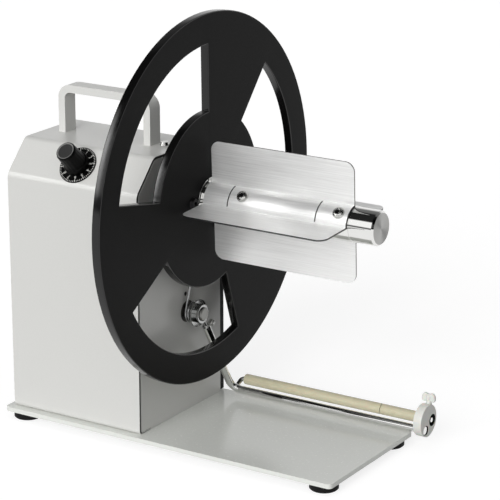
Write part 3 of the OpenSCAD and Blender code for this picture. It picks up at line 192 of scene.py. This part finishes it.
def lay_floor():
    """White table top: it lifts to white where it is lit, and keeps a faint shadow of the part."""
    half_size, lift_strength = 8.0, 0.78
    shape = bmesh.new()
    bmesh.ops.create_grid(shape, x_segments=1, y_segments=1, size=half_size)
    mesh = bpy.data.meshes.new("table_top")
    shape.to_mesh(mesh)
    shape.free()
    floor = bpy.data.objects.new("table_top", mesh)
    scene.collection.objects.link(floor)
    laminate = bpy.data.materials.new("white_laminate")
    laminate.use_nodes = True
    tree = laminate.node_tree
    tree.nodes.clear()
    path = node(tree, "ShaderNodeLightPath")
    seen = node(tree, "ShaderNodeMath", {"operation": "MAXIMUM"}, i0=path.outputs["Is Camera Ray"],
                i1=path.outputs["Is Glossy Ray"])
    shown = node(tree, "ShaderNodeMath", {"operation": "MAXIMUM"}, i0=seen.outputs[0],
                 i1=path.outputs["Is Transmission Ray"])
    matt = node(tree, "ShaderNodeBsdfDiffuse", {"in:Color": linear("#9c9c9b")})
    shaded = node(tree, "ShaderNodeBsdfDiffuse", {"in:Color": linear("#a2a2a2")})
    lift = node(tree, "ShaderNodeEmission", {"in:Color": WHITE, "in:Strength": lift_strength})
    lifted = node(tree, "ShaderNodeAddShader", i0=shaded.outputs[0], i1=lift.outputs[0])
    both = node(tree, "ShaderNodeMixShader", Fac=shown.outputs[0], i1=matt.outputs[0], i2=lifted.outputs[0])
    node(tree, "ShaderNodeOutputMaterial", Surface=both.outputs[0])
    mesh.materials.append(laminate)


def aim_camera():
    """Long lens in front of the part, to the right and a little above."""
    stand = Vector((764.5, -1127.5, 529.9))
    right = Vector((0.8453, 0.5343, 0.0))
    up = Vector((-0.158, 0.250, 0.955))
    back = Vector((0.5104, -0.8075, 0.2957))
    lens = bpy.data.cameras.new("camera")
    lens.sensor_width = 36.0
    lens.lens = 164.6
    lens.clip_end = 50.0
    camera = bpy.data.objects.new("camera", lens)
    turn = Matrix((right, up, back)).transposed().to_4x4()
    camera.matrix_world = Matrix.Translation(TO_PART @ stand) @ turn
    scene.collection.objects.link(camera)
    scene.camera = camera


light_studio()
lay_floor()
aim_camera()


# Materials

def plain(name, colour, roughness, metallic=0.0, **extra):
    """A Principled material; extra names other shader sockets, with _ for a space."""
    made = bpy.data.materials.new(name)
    made.use_nodes = True
    shader = made.node_tree.nodes["Principled BSDF"]
    shader.inputs["Base Color"].default_value = linear(colour)
    shader.inputs["Roughness"].default_value = roughness
    shader.inputs["Metallic"].default_value = metallic
    for key, value in extra.items():
        shader.inputs[key.replace("_", " ")].default_value = value
    return made


def grained(name, colour, roughness, metallic, grain, depth, spread, fleck=0.0, **extra):
    """A finish with one grain: grain gives its size in mm along X, Y and Z, depth its bump in mm,
    spread how far the gloss wanders, and fleck how much the colour darkens in the grain."""
    made = plain(name, colour, roughness, metallic, **extra)
    tree = made.node_tree
    shader = tree.nodes["Principled BSDF"]
    coords = node(tree, "ShaderNodeTexCoord")
    size = node(tree, "ShaderNodeMapping", {"in:Scale": [1 / (g * MM) for g in grain]},
                Vector=coords.outputs["Object"])
    noise = node(tree, "ShaderNodeTexNoise", {"in:Scale": 1.0, "in:Detail": 3.0, "in:Roughness": 0.6},
                 Vector=size.outputs[0])
    gloss = node(tree, "ShaderNodeMapRange",
                 {"in:From Min": 0.3, "in:From Max": 0.7,
                  "in:To Min": roughness - spread, "in:To Max": roughness + spread}, Value=noise.outputs[0])
    tree.links.new(gloss.outputs[0], shader.inputs["Roughness"])
    bump = node(tree, "ShaderNodeBump", {"in:Strength": 1.0, "in:Distance": depth * MM},
                Height=noise.outputs[0])
    tree.links.new(bump.outputs[0], shader.inputs["Normal"])
    if fleck:
        base = linear(colour)
        low = [(1 - fleck) * v for v in base[:3]] + [1.0]
        share = node(tree, "ShaderNodeMapRange", {"in:From Min": 0.3, "in:From Max": 0.65},
                     Value=noise.outputs[0])
        tint = node(tree, "ShaderNodeMix", {"data_type": "RGBA", "in:6": low, "in:7": base},
                    i0=share.outputs[0])
        tree.links.new(tint.outputs[2], shader.inputs["Base Color"])
    return made


def even(size):
    """The same grain size on all three axes."""
    return (size, size, size)


# Pale warm grey polyester powder on folded steel: satin, faint orange peel, a soft sheen along the bends
grey_coat = grained("grey_powder_coat", "#d3d3d0", 0.36, 0.0, even(1.1), 0.003, 0.05, 0.02,
                    Coat_Weight=0.4, Coat_Roughness=0.16)
# The base plate's coat: the same powder as the housing, baked glossier, so it mirrors the arm and housing
# faintly; its colour is painted lighter than the housing's, as painted light for the shade the plate sits in
plate_coat_painted_light = grained("plate_powder_painted_light", "#e2e4df", 0.24, 0.0, even(1.4), 0.0012, 0.04, 0.02,
                     Coat_Weight=0.3, Coat_Roughness=0.12)
# Painted shade: dark grey on the cover's cut edges, a dark line round the cover along its seams, and on the
# wall of the side plate's small hole
seam_and_hole_shade = grained("painted_seam_and_hole_shade", "#3c3c3a", 0.5, 0.0, even(0.5), 0.01, 0.08, 0.2)
# Satin black powder on the disc and the rear tray: even, with a weak wide sheen
black_coat = grained("black_powder_coat", "#101010", 0.5, 0.0, even(0.8), 0.006, 0.05, 0.1,
                     Specular_IOR_Level=0.08)
# Cut edge of the disc under smooth black lacquer: a dark wall that mirrors the strip light in one place
cut_edge = grained("lacquered_cut_edge", "#0a0a0a", 0.13, 0.0, even(2.0), 0.0005, 0.03, 0.06,
                   Specular_IOR_Level=0.45)
# White epoxy on the handle's steel bar: satin, with the light falling off round its corners
handle_coat = grained("white_epoxy", "#d8d8d5", 0.34, 0.0, even(0.9), 0.004, 0.05, 0.03,
                      Specular_IOR_Level=0.2)
# Stainless fin sheet, linished along the spindle; the lines are drawn coarse enough to show
fin_steel = grained("linished_stainless", "#fefefd", 0.4, 0.62, (34.0, 0.5, 0.5), 0.013, 0.1, 0.16)
# Sheared edge of the fin sheet: dull and dark
sheared = grained("sheared_stainless", "#5a5a59", 0.45, 1.0, even(0.5), 0.006, 0.1, 0.15)
# Polished hard chrome: hard pale and dark bands, broken only by faint polishing marks
chrome = grained("hard_chrome", "#e4e4e2", 0.06, 1.0, (0.6, 14.0, 14.0), 0.0003, 0.02)
# Bright nickel on the small screws that show: soft glints and dark recesses
nickel = grained("bright_nickel", "#d6d6d3", 0.26, 1.0, even(0.6), 0.001, 0.04, 0.08)
# Turned steel of the pivot nut: grey, with the light spread by tool marks
turned_steel = grained("turned_steel", "#8f8f8c", 0.34, 1.0, even(0.4), 0.002, 0.06, 0.2)
# Bright zinc on hidden screws and pins: pale, slightly mottled
zinc = grained("bright_zinc", "#c0c0be", 0.2, 1.0, even(0.6), 0.003, 0.05, 0.12)
# Black oxide on small screws: dark with a weak metal glint; the same dark finish is painted shade inside the
# sockets of the nickel fin screws
oxide_and_socket_shade = grained("black_oxide_and_socket_shade", "#222223", 0.34, 0.8, even(0.4), 0.004, 0.07, 0.2)
# Drawn spring wire, bright with faint die lines
wire = grained("drawn_spring_wire", "#b4b5b5", 0.14, 1.0, even(0.4), 0.001, 0.04, 0.12)
# Machined aluminium of the arm hub, pulleys and bearing block: clean grey, fine tool marks
machined = grained("machined_aluminium", "#b2b3b2", 0.16, 1.0, even(0.35), 0.001, 0.05, 0.12)
# Turned bush in dark grey steel
bush_steel = grained("dark_steel_bush", "#5c5a55", 0.3, 1.0, even(0.4), 0.003, 0.06, 0.2)
# Natural rubber feet and belt: matt and nearly black; the same black is painted shade on the walls of the
# edge guide's holes
rubber_and_hole_shade = grained("black_rubber", "#121212", 0.7, 0.0, even(0.6), 0.02, 0.08, 0.15, Specular_IOR_Level=0.2)
# Moulded black phenolic of the knob, dial and switch: deep black, dull gloss
phenolic = grained("black_phenolic", "#040404", 0.42, 0.0, even(0.3), 0.002, 0.06, 0.15,
                   Specular_IOR_Level=0.1)
# Cap of the knob and its raised ring in lighter grey phenolic: a painted sheen on the cap and a painted
# highlight on the ring
cap_painted_sheen = grained("knob_cap_painted_sheen", "#323232", 0.5, 0.0, even(0.5), 0.003, 0.08, 0.25,
                   Specular_IOR_Level=0.3)
ring_painted_highlight = grained("knob_ring_painted_highlight", "#7c7c7a", 0.4, 0.0, even(0.5), 0.002, 0.08, 0.2)
# Cast nylon roller, cream and waxy
cream = grained("cream_nylon", "#c9c3a8", 0.26, 0.0, (8.0, 1.5, 1.5), 0.001, 0.04, 0.02,
                Subsurface_Weight=0.1, Subsurface_Scale=0.002, Coat_Weight=0.3, Coat_Roughness=0.1)
# White nylon guide and wing screw, a little milky
nylon = grained("white_nylon", "#e0e1db", 0.4, 0.0, even(0.6), 0.006, 0.06, 0.04,
                Subsurface_Weight=0.15, Subsurface_Scale=0.002)
# Screen-printed dial and switch marks: flat chalky white
print_white = grained("white_print", "#cdcdc9", 0.6, 0.0, even(0.2), 0.001, 0.05, 0.05)
# Solder mask of the control board: glossy green
solder_mask = grained("green_solder_mask", "#2f5d3a", 0.3, 0.0, even(0.9), 0.006, 0.06, 0.12)


def face_steel():
    """Faced end of the spindle: fine tool rings, so the light fans out from the centre."""
    made = grained("faced_steel", "#aeaeac", 0.4, 1.0, even(0.5), 0.001, 0.05, 0.08, Anisotropic=0.9)
    tree = made.node_tree
    coords = node(tree, "ShaderNodeTexCoord")
    centre = (0.0, 0.0, -(AXIS_Z + SHIFT.z) * MM)
    outward = node(tree, "ShaderNodeMapping", {"in:Location": centre, "in:Scale": (0.0, 1.0, 1.0)},
                   Vector=coords.outputs["Object"])
    tree.links.new(outward.outputs[0], tree.nodes["Principled BSDF"].inputs["Tangent"])
    return made


faced = face_steel()

finishes = {
    grey_coat: ["folded_cover", "spindle_panel", "left_panel"],
    plate_coat_painted_light: ["base_plate"],
    black_coat: ["rear_cover", "hub_flange", "reel_disc"],
    handle_coat: ["carry_handle"],
    rubber_and_hole_shade: ["rubber_feet", "drive_belt"],
    nickel: ["cover_screws", "fin_screws", "hub_screw", "spring_anchor"],
    zinc: ["foot_screws", "base_screws", "handle_screws", "motor_screws", "motor_bracket",
           "bearing_screws", "cam_stop", "switch_posts", "board_screws", "pot_nut",
           "motor_shaft", "pot_shaft", "pivot_shaft", "bearing_outer_rings", "bearing_inner_rings",
           "bearing_balls", "board_posts"],
    oxide_and_socket_shade: ["rear_screws", "disc_screws", "switch_cam", "shaft_clip"],
    turned_steel: ["pivot_nut"],
    chrome: ["spindle_shaft", "arm_rod", "front_washer"],
    fin_steel: ["upper_fin", "lower_fin"],
    wire: ["arm_spring"],
    machined: ["bearing_block", "shaft_pulley", "motor_pulley", "arm_hub", "gear_motor", "potentiometer"],
    bush_steel: ["pivot_bush"],
    phenolic: ["speed_knob", "dial_plate", "switch_body", "switch_rocker", "power_jack", "arm_switch"],
    cream: ["roller_tube", "roller_sleeve"],
    nylon: ["edge_guide", "wing_screw"],
    solder_mask: ["control_board"],
}
for finish, names in finishes.items():
    for name in names:
        slots = nodes[name].data.materials
        slots.clear()
        slots.append(finish)


def part_finish(name, finish, belongs):
    """Gives a CAD node a second finish where belongs(centre, normal) is true, in machine-frame mm."""
    mesh = nodes[name].data
    mesh.materials.append(finish)
    for face in mesh.polygons:
        if belongs(TO_MACHINE @ face.center, face.normal):
            face.material_index = 1


def on_fin_edge(centre, normal):
    """Ends, corners, slit walls and tips of the fin sheet."""
    tip_reach = 37.0
    out = Vector((0.0, centre.y, centre.z - AXIS_Z))
    return abs(normal.x) > 0.3 or (out.length > tip_reach and abs(normal.dot(out.normalized())) > 0.7)


def on_spindle_end(centre, normal):
    """Flat free end of the spindle."""
    near_end = 142.9
    return centre.x > near_end and normal.x > 0.9


def in_small_hole(centre, normal):
    """Wall of the small open hole in the spindle side plate."""
    hole_y, hole_z, hole_r = 6.0, 78.0, 1.5
    return math.hypot(centre.y - hole_y, centre.z - hole_z) < hole_r and abs(normal.x) < 0.3


part_finish("upper_fin", sheared, on_fin_edge)
part_finish("lower_fin", sheared, on_fin_edge)
part_finish("spindle_shaft", faced, on_spindle_end)
# The wall of the small hole is painted dark: painted shade in the hole
part_finish("spindle_panel", seam_and_hole_shade, in_small_hole)


# Helpers for the rebuilt pieces

def piece(name, shape, materials, body, replaced=(), sharp=38.0):
    """A finished mesh from machine-frame mm, with its finishes, body and the CAD nodes it replaces."""
    bmesh.ops.transform(shape, matrix=TO_PART, verts=shape.verts)
    mesh = bpy.data.meshes.new(name)
    shape.to_mesh(mesh)
    shape.free()
    mesh.shade_smooth()
    mesh.set_sharp_from_angle(angle=math.radians(sharp))
    for finish in materials:
        mesh.materials.append(finish)
    made = bpy.data.objects.new(name, mesh)
    scene.collection.objects.link(made)
    weights = made.modifiers.new("flat_faces", "WEIGHTED_NORMAL")
    weights.keep_sharp = True
    if replaced:
        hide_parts(*replaced)
    if body:
        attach(made, body)
    return made


def bevel(shape, edges, width, segments=2):
    """Rounds edges by that width in mm."""
    bmesh.ops.bevel(shape, geom=edges, offset=width, segments=segments, profile=0.5, affect="EDGES",
                    clamp_overlap=True, material=-1)


def corners(shape, degrees):
    """Edges between two faces that meet at more than that angle."""
    return [e for e in shape.edges if e.is_manifold and e.calc_face_angle() > math.radians(degrees)]


def draw(shape, points):
    """A run of edges through the points: its vertices and its edges."""
    line = [shape.verts.new(point) for point in points]
    run = [shape.edges.new(pair) for pair in zip(line, line[1:])]
    return line, run


def lathe(shape, outline, steps):
    """Spins an outline of (radius, height) points in mm about Z, and closes it."""
    line, run = draw(shape, [(r, 0.0, z) for r, z in outline])
    bmesh.ops.spin(shape, geom=line + run, cent=(0, 0, 0), axis=(0, 0, 1), angle=FULL_TURN,
                   steps=steps, use_merge=True)
    bmesh.ops.remove_doubles(shape, verts=shape.verts, dist=MERGE)
    bmesh.ops.recalc_face_normals(shape, faces=shape.faces)


def pull(shape, made, vec):
    """Moves the new vertices of an extrusion."""
    moved = [v for v in made["geom"] if isinstance(v, bmesh.types.BMVert)]
    bmesh.ops.translate(shape, verts=moved, vec=vec)


def merged_copy(name):
    """A CAD node's solid in machine-frame mm, with its triangles joined to whole faces."""
    shape = bmesh.new()
    shape.from_mesh(nodes[name].data)
    bmesh.ops.transform(shape, matrix=TO_MACHINE, verts=shape.verts)
    bmesh.ops.remove_doubles(shape, verts=shape.verts, dist=MERGE)
    bmesh.ops.dissolve_limit(shape, angle_limit=math.radians(0.4), verts=shape.verts, edges=shape.edges)
    return shape


def mesh_of(curve):
    """The solid shape of a curve or a figure as a mesh; the curve itself is removed."""
    stand_in = bpy.data.objects.new(curve.name, curve)
    scene.collection.objects.link(stand_in)
    bpy.context.view_layer.update()
    solid = stand_in.evaluated_get(bpy.context.evaluated_depsgraph_get())
    mesh = bpy.data.meshes.new_from_object(solid)
    bpy.data.objects.remove(stand_in)
    bpy.data.curves.remove(curve)
    return mesh


def add_mesh(shape, mesh):
    """Adds a mesh to the shape and removes it."""
    shape.from_mesh(mesh)
    bpy.data.meshes.remove(mesh)


def add_figure(shape, words, height, place):
    """Adds a number or mark as a thin raised print, centred at its place."""
    curve = bpy.data.curves.new("figure", "FONT")
    curve.body = words
    curve.size = height
    curve.align_x = "CENTER"
    curve.align_y = "CENTER"
    curve.extrude = 0.03
    curve.offset = 0.02
    figure = mesh_of(curve)
    figure.transform(place)
    add_mesh(shape, figure)


def about(axis, degrees):
    """A turn about one axis."""
    return Matrix.Rotation(math.radians(degrees), 4, axis)


# Rebuilt pieces

def bend_cover():
    """Front, slope, top and rear slope in one sheet, with the round bends of a press brake."""
    width, sheet, bend, bend_steps, broken = 98.0, 1.5, 2.4, 5, 0.2
    outline = [(-34.0, 0.0), (-46.0, 0.0), (-46.0, 154.0), (-27.0, 174.0), (27.0, 174.0), (46.0, 154.0)]
    shape = bmesh.new()
    run = draw(shape, [(-width, y, z) for y, z in outline])[1]
    pull(shape, bmesh.ops.extrude_edge_only(shape, edges=run), (width, 0.0, 0.0))
    bevel(shape, [e for e in shape.edges if len(e.link_faces) == 2], bend, bend_steps)
    bmesh.ops.recalc_face_normals(shape, faces=shape.faces)
    bmesh.ops.solidify(shape, geom=shape.faces[:], thickness=sheet)
    bevel(shape, corners(shape, 60), broken)
    # The cut edges at both ends of the sheet are painted dark: painted shade of the seams
    for face in shape.faces:
        face.material_index = 1 if abs(face.normal.x) > 0.5 else 0
    piece("bent_cover", shape, [grey_coat, seam_and_hole_shade], "frame", ["folded_cover"])


def cut_disc():
    """Plate disc with three windows, its edges broken, faces in black powder and walls in black lacquer."""
    bore, hub, window, rim = 11.03, 55.3, 97.0, 115.98
    face_x, thick, broken = 22.9, 5.5, 0.6
    first, pitch, half_window, step = 10.0, 120.0, 39.0, 3.0
    shape = bmesh.new()
    start = math.radians(first - half_window)
    radii = (bore, hub, window, rim)
    line, run = draw(shape, [(face_x, r * math.cos(start), r * math.sin(start)) for r in radii])
    bmesh.ops.spin(shape, geom=line + run, cent=(0, 0, 0), axis=(1, 0, 0), angle=FULL_TURN,
                   steps=int(360 / step), use_merge=True)
    bmesh.ops.remove_doubles(shape, verts=shape.verts, dist=MERGE)
    cut = []
    for face in shape.faces:
        centre = face.calc_center_median()
        turn = math.degrees(math.atan2(centre.z, centre.y)) - first
        off_middle = abs((turn + pitch / 2) % pitch - pitch / 2)
        if hub < math.hypot(centre.y, centre.z) < window and off_middle < half_window:
            cut.append(face)
    bmesh.ops.delete(shape, geom=cut, context="FACES")
    bmesh.ops.recalc_face_normals(shape, faces=shape.faces)
    if shape.faces[:][0].normal.x < 0:
        bmesh.ops.reverse_faces(shape, faces=shape.faces)
    bmesh.ops.solidify(shape, geom=shape.faces[:], thickness=thick)
    bevel(shape, corners(shape, 60), broken)
    bmesh.ops.translate(shape, verts=shape.verts, vec=(0.0, 0.0, AXIS_Z))
    for face in shape.faces:
        face.material_index = 0 if abs(face.normal.x) > 0.95 else 1
    piece("reel_plate", shape, [black_coat, cut_edge], "spool", ["reel_disc"])


# Middle of the dial on the front slope, with Z out of the slope
SLOPE = Matrix.Translation((-50.0, -36.5, 164.0)) @ about("X", 46.469)


def turn_knob():
    """Moulded knob: skirt, shallow grip flutes and a cap with a raised ring."""
    outline = [(0.0, 3.4), (5.3, 3.4), (5.3, 1.3), (7.7, 1.3), (8.0, 1.6), (8.0, 4.1), (7.7, 4.45),
               (7.05, 4.8), (6.95, 5.6), (6.52, 15.6), (6.45, 16.7), (6.2, 17.3), (5.75, 17.5),
               (5.6, 17.72), (5.25, 17.72), (5.05, 17.5), (4.9, 17.4), (0.0, 17.4)]
    flutes, per_flute, flute_depth = 18, 8, 0.1
    grip_r, grip_low, grip_high = 6.3, 5.0, 17.0
    cap_z, cap_r, ring_r = 17.3, 4.95, 5.65
    shape = bmesh.new()
    lathe(shape, outline, flutes * per_flute)
    for v in shape.verts:
        reach = math.hypot(v.co.x, v.co.y)
        if reach > grip_r and grip_low < v.co.z < grip_high:
            wave = 0.5 + 0.5 * math.cos(flutes * math.atan2(v.co.y, v.co.x))
            v.co.xy *= 1 - flute_depth * wave ** 2 / reach
    # Cap and ring faces take the lighter finishes: painted sheen on the cap, painted highlight on the ring
    for face in shape.faces:
        corner = max(math.hypot(v.co.x, v.co.y) for v in face.verts)
        if min(v.co.z for v in face.verts) > cap_z and corner < ring_r:
            face.material_index = 1 if corner < cap_r else 2
    bmesh.ops.transform(shape, matrix=SLOPE, verts=shape.verts)
    piece("grip_knob", shape, [phenolic, cap_painted_sheen, ring_painted_highlight], "knob", ["speed_knob"],
          sharp=50.0)


def print_dial():
    """Ticks and the numbers 0 to 10 printed round the dial plate, over the knob's 300 degrees."""
    ticks, per_number, first, step = 51, 5, 105, 6
    tick_r, figure_r, figure_size, top, film = 12.1, 9.1, 3.0, 0.83, 0.06
    long_tick, short_tick = (1.5, 0.5), (0.9, 0.32)
    shape = bmesh.new()
    for tick in range(ticks):
        turn = about("Z", first - step * tick)
        numbered = tick % per_number == 0
        reach, wide = long_tick if numbered else short_tick
        place = turn @ Matrix.Translation((tick_r - reach / 2, 0.0, top))
        size = Matrix.Diagonal((reach, wide, film, 1.0))
        bmesh.ops.create_cube(shape, size=1.0, matrix=SLOPE @ place @ size)
        if numbered:
            spot = turn @ Matrix.Translation((figure_r, 0.0, top)) @ about("Z", -90)
            add_figure(shape, str(tick // per_number), figure_size, SLOPE @ spot)
    piece("dial_print", shape, [print_white], "frame")


def print_rocker():
    """The usual on and off marks on the two halves of the rear rocker."""
    figure_size, rise, middle = 3.4, 2.16, 3.9
    rocker = Matrix.Translation((-30.0, 49.0, 30.0)) @ about("X", -8.0)
    facing = about("Z", 180) @ about("X", 90)
    shape = bmesh.new()
    for words, side in (("I", 1), ("O", -1)):
        lean = Matrix.Rotation(-side * math.atan2(0.7, 7.6), 4, "X")
        spot = Matrix.Translation((0.0, rise, side * middle))
        add_figure(shape, words, figure_size, rocker @ spot @ lean @ facing)
    piece("rocker_print", shape, [print_white], "rocker")


def button_screw():
    """One button-head screw along Z: a domed head with a hexagon socket."""
    outline = [(0.0, -5.0), (1.95, -5.0), (1.95, -0.5), (3.75, -0.5), (3.75, 0.4), (3.65, 0.85), (3.4, 1.3),
               (2.9, 1.75), (2.3, 2.05), (1.9, 2.15), (1.62, 2.1), (1.44, 1.95), (1.44, 0.9), (0.0, 0.7)]
    socket_r, flat, steps, sixth = 1.44, 1.25, 48, math.pi / 3
    shape = bmesh.new()
    lathe(shape, outline, steps)
    for v in shape.verts:
        if v.co.z > 0.8 and 1.4 < math.hypot(v.co.x, v.co.y) < 1.5:
            side = (math.atan2(v.co.y, v.co.x) + sixth / 2) % sixth - sixth / 2
            v.co.xy *= flat / (socket_r * math.cos(side))
    # Faces inside the socket take the second, dark finish: painted shade in the socket
    for face in shape.faces:
        centre = face.calc_center_median()
        shaded_socket = math.hypot(centre.x, centre.y) < 1.5 and centre.z > 0.0
        face.material_index = 1 if shaded_socket else 0
    return shape


def turn_fin_screws():
    """Four button-head screws on the saddles of the fins."""
    saddle_turns, stations, seat = (47.5, 227.5), (52.2, 119.0), 12.05
    heads = bmesh.new()
    for turn in saddle_turns:
        for x in stations:
            shape = button_screw()
            out = about("X", turn) @ Matrix.Translation((x, 0.0, seat))
            bmesh.ops.transform(shape, matrix=Matrix.Translation((0.0, 0.0, AXIS_Z)) @ out, verts=shape.verts)
            held = bpy.data.meshes.new("screw")
            shape.to_mesh(held)
            shape.free()
            add_mesh(heads, held)
    piece("button_screws", heads, [nickel, oxide_and_socket_shade], "spool", ["fin_screws"], sharp=30.0)


def mould_wing():
    """Moulded wing screw: two soft ears with a notch between them, on a round stem."""
    ear = [(1.5, -2.3), (2.2, -2.65), (3.0, -2.8), (3.8, -2.7), (4.35, -2.1), (4.58, -1.1), (4.55, 0.2),
           (4.3, 1.3), (3.7, 2.2), (2.9, 2.75), (2.1, 2.8), (1.3, 2.6), (0.7, 2.35)]
    notch = (0.0, 2.2)
    stem = [(0.0, -10.5), (1.95, -10.5), (1.95, -4.0), (1.6, -3.6), (1.6, -1.6), (1.95, -0.8),
            (1.95, 0.6), (1.5, 1.3), (0.0, 1.5)]
    thick, soft, soft_steps, stem_steps = 2.2, 0.55, 3, 32
    middle = Vector((150.0625, 51.9, 24.2))
    shape = bmesh.new()
    outline = ear + [notch] + [(-x, z) for x, z in reversed(ear)]
    face = shape.faces.new([shape.verts.new((x, -thick / 2, z)) for x, z in outline])
    pull(shape, bmesh.ops.extrude_face_region(shape, geom=[face]), (0.0, thick, 0.0))
    bmesh.ops.recalc_face_normals(shape, faces=shape.faces)
    bevel(shape, corners(shape, 60), soft, soft_steps)
    lathe(shape, stem, stem_steps)
    bmesh.ops.translate(shape, verts=shape.verts, vec=middle)
    piece("moulded_wing", shape, [nylon], "guide_screw", ["wing_screw"])


def round_guide():
    """The edge guide with its rim rounded like a moulding, and a black wall in each hole as painted shade."""
    # Middle in Y and Z, and a radius just inside the rim or just outside the hole
    rim, rod_hole, roller_hole = (47.0, 10.65, 10.2), (43.6, 5.2, 3.2), (51.9, 9.6, 4.0)
    round_r, round_steps = 0.65, 4
    shape = merged_copy("edge_guide")

    def within(v, ring):
        return math.hypot(v.co.y - ring[0], v.co.z - ring[1]) < ring[2]

    outer = [e for e in corners(shape, 60) if not any(within(v, rim) for v in e.verts)]
    bevel(shape, outer, round_r, round_steps)
    # Walls of both holes take the black finish: painted shade in the holes
    for face in shape.faces:
        in_hole = any(all(within(v, hole) for v in face.verts) for hole in (rod_hole, roller_hole))
        face.material_index = 1 if in_hole else 0
    body = nodes["edge_guide"]["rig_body"]
    piece("round_guide", shape, [nylon, rubber_and_hole_shade], body, ["edge_guide"])


def wind_spring():
    """Drawn wire: straight leg up the side plate, coil round the hub, short tail on the hub."""
    x0, radius, pitch, phase, turns, leg, tail, wire_r = 3.1, 6.4, 1.9, 163.0, 15 / 8, 22.0, 4.0, 0.7
    pivot = Vector((0.0, 7.6, 66.2))
    per_turn, leg_steps, tail_steps = 40, 8, 3

    def on_coil(share):
        angle = math.radians(phase + 360 * turns * share)
        along = x0 + pitch * turns * share
        return pivot + Vector((along, radius * math.cos(angle), radius * math.sin(angle)))

    def way(share):
        angle = math.radians(phase + 360 * turns * share)
        return Vector((0.0, -math.sin(angle), math.cos(angle)))

    count = int(per_turn * turns)
    route = [on_coil(0.0) - way(0.0) * (leg * k / leg_steps) for k in range(leg_steps, 0, -1)]
    route += [on_coil(k / count) for k in range(count + 1)]
    route += [on_coil(1.0) + way(1.0) * (tail * k / tail_steps) for k in range(1, tail_steps + 1)]
    curve = bpy.data.curves.new("wound_spring", "CURVE")
    curve.dimensions = "3D"
    curve.bevel_depth = wire_r
    curve.bevel_resolution = 3
    curve.use_fill_caps = True
    line = curve.splines.new("POLY")
    line.points.add(len(route) - 1)
    for point, place in zip(line.points, route):
        point.co = (*place, 1.0)
    shape = bmesh.new()
    add_mesh(shape, mesh_of(curve))
    bmesh.ops.remove_doubles(shape, verts=shape.verts, dist=MERGE)
    bmesh.ops.recalc_face_normals(shape, faces=shape.faces)
    made = piece("wound_spring", shape, [wire], None, ["arm_spring"], sharp=60.0)
    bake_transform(made)


def ease(name, width, shortest=0.0):
    """A CAD node again, with its sharp edges longer than shortest broken by that width, in mm."""
    shape = merged_copy(name)
    bevel(shape, [e for e in corners(shape, 50) if e.calc_length() > shortest], width)
    source = nodes[name]
    piece(name + "_eased", shape, list(source.data.materials), source["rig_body"], [name])


bend_cover()
cut_disc()
turn_knob()
print_dial()
print_rocker()
turn_fin_screws()
mould_wing()
round_guide()
wind_spring()
for eased, width, slot in [("base_plate", 0.5, "plate_paint"), ("carry_handle", 0.7, "chrome_steel"),
                           ("roller_tube", 0.4, "cream_plastic"), ("roller_sleeve", 0.4, "cream_plastic"),
                           ("rear_cover", 0.6, "black_paint"), ("rubber_feet", 0.8, "black_rubber"),
                           ("left_panel", 0.5, "grey_paint"),
                           ("front_washer", 0.2, "chrome_steel"), ("pivot_nut", 0.3, "chrome_steel"),
                           ("switch_body", 0.4, "black_plastic"), ("switch_rocker", 0.4, "black_plastic"),
                           ("power_jack", 0.3, "black_plastic"), ("dial_plate", 0.15, "black_plastic")]:
    ease(eased, width)
# The short edges of the small hole stay sharp, so that it shows
ease("spindle_panel", 0.5, shortest=3.0)
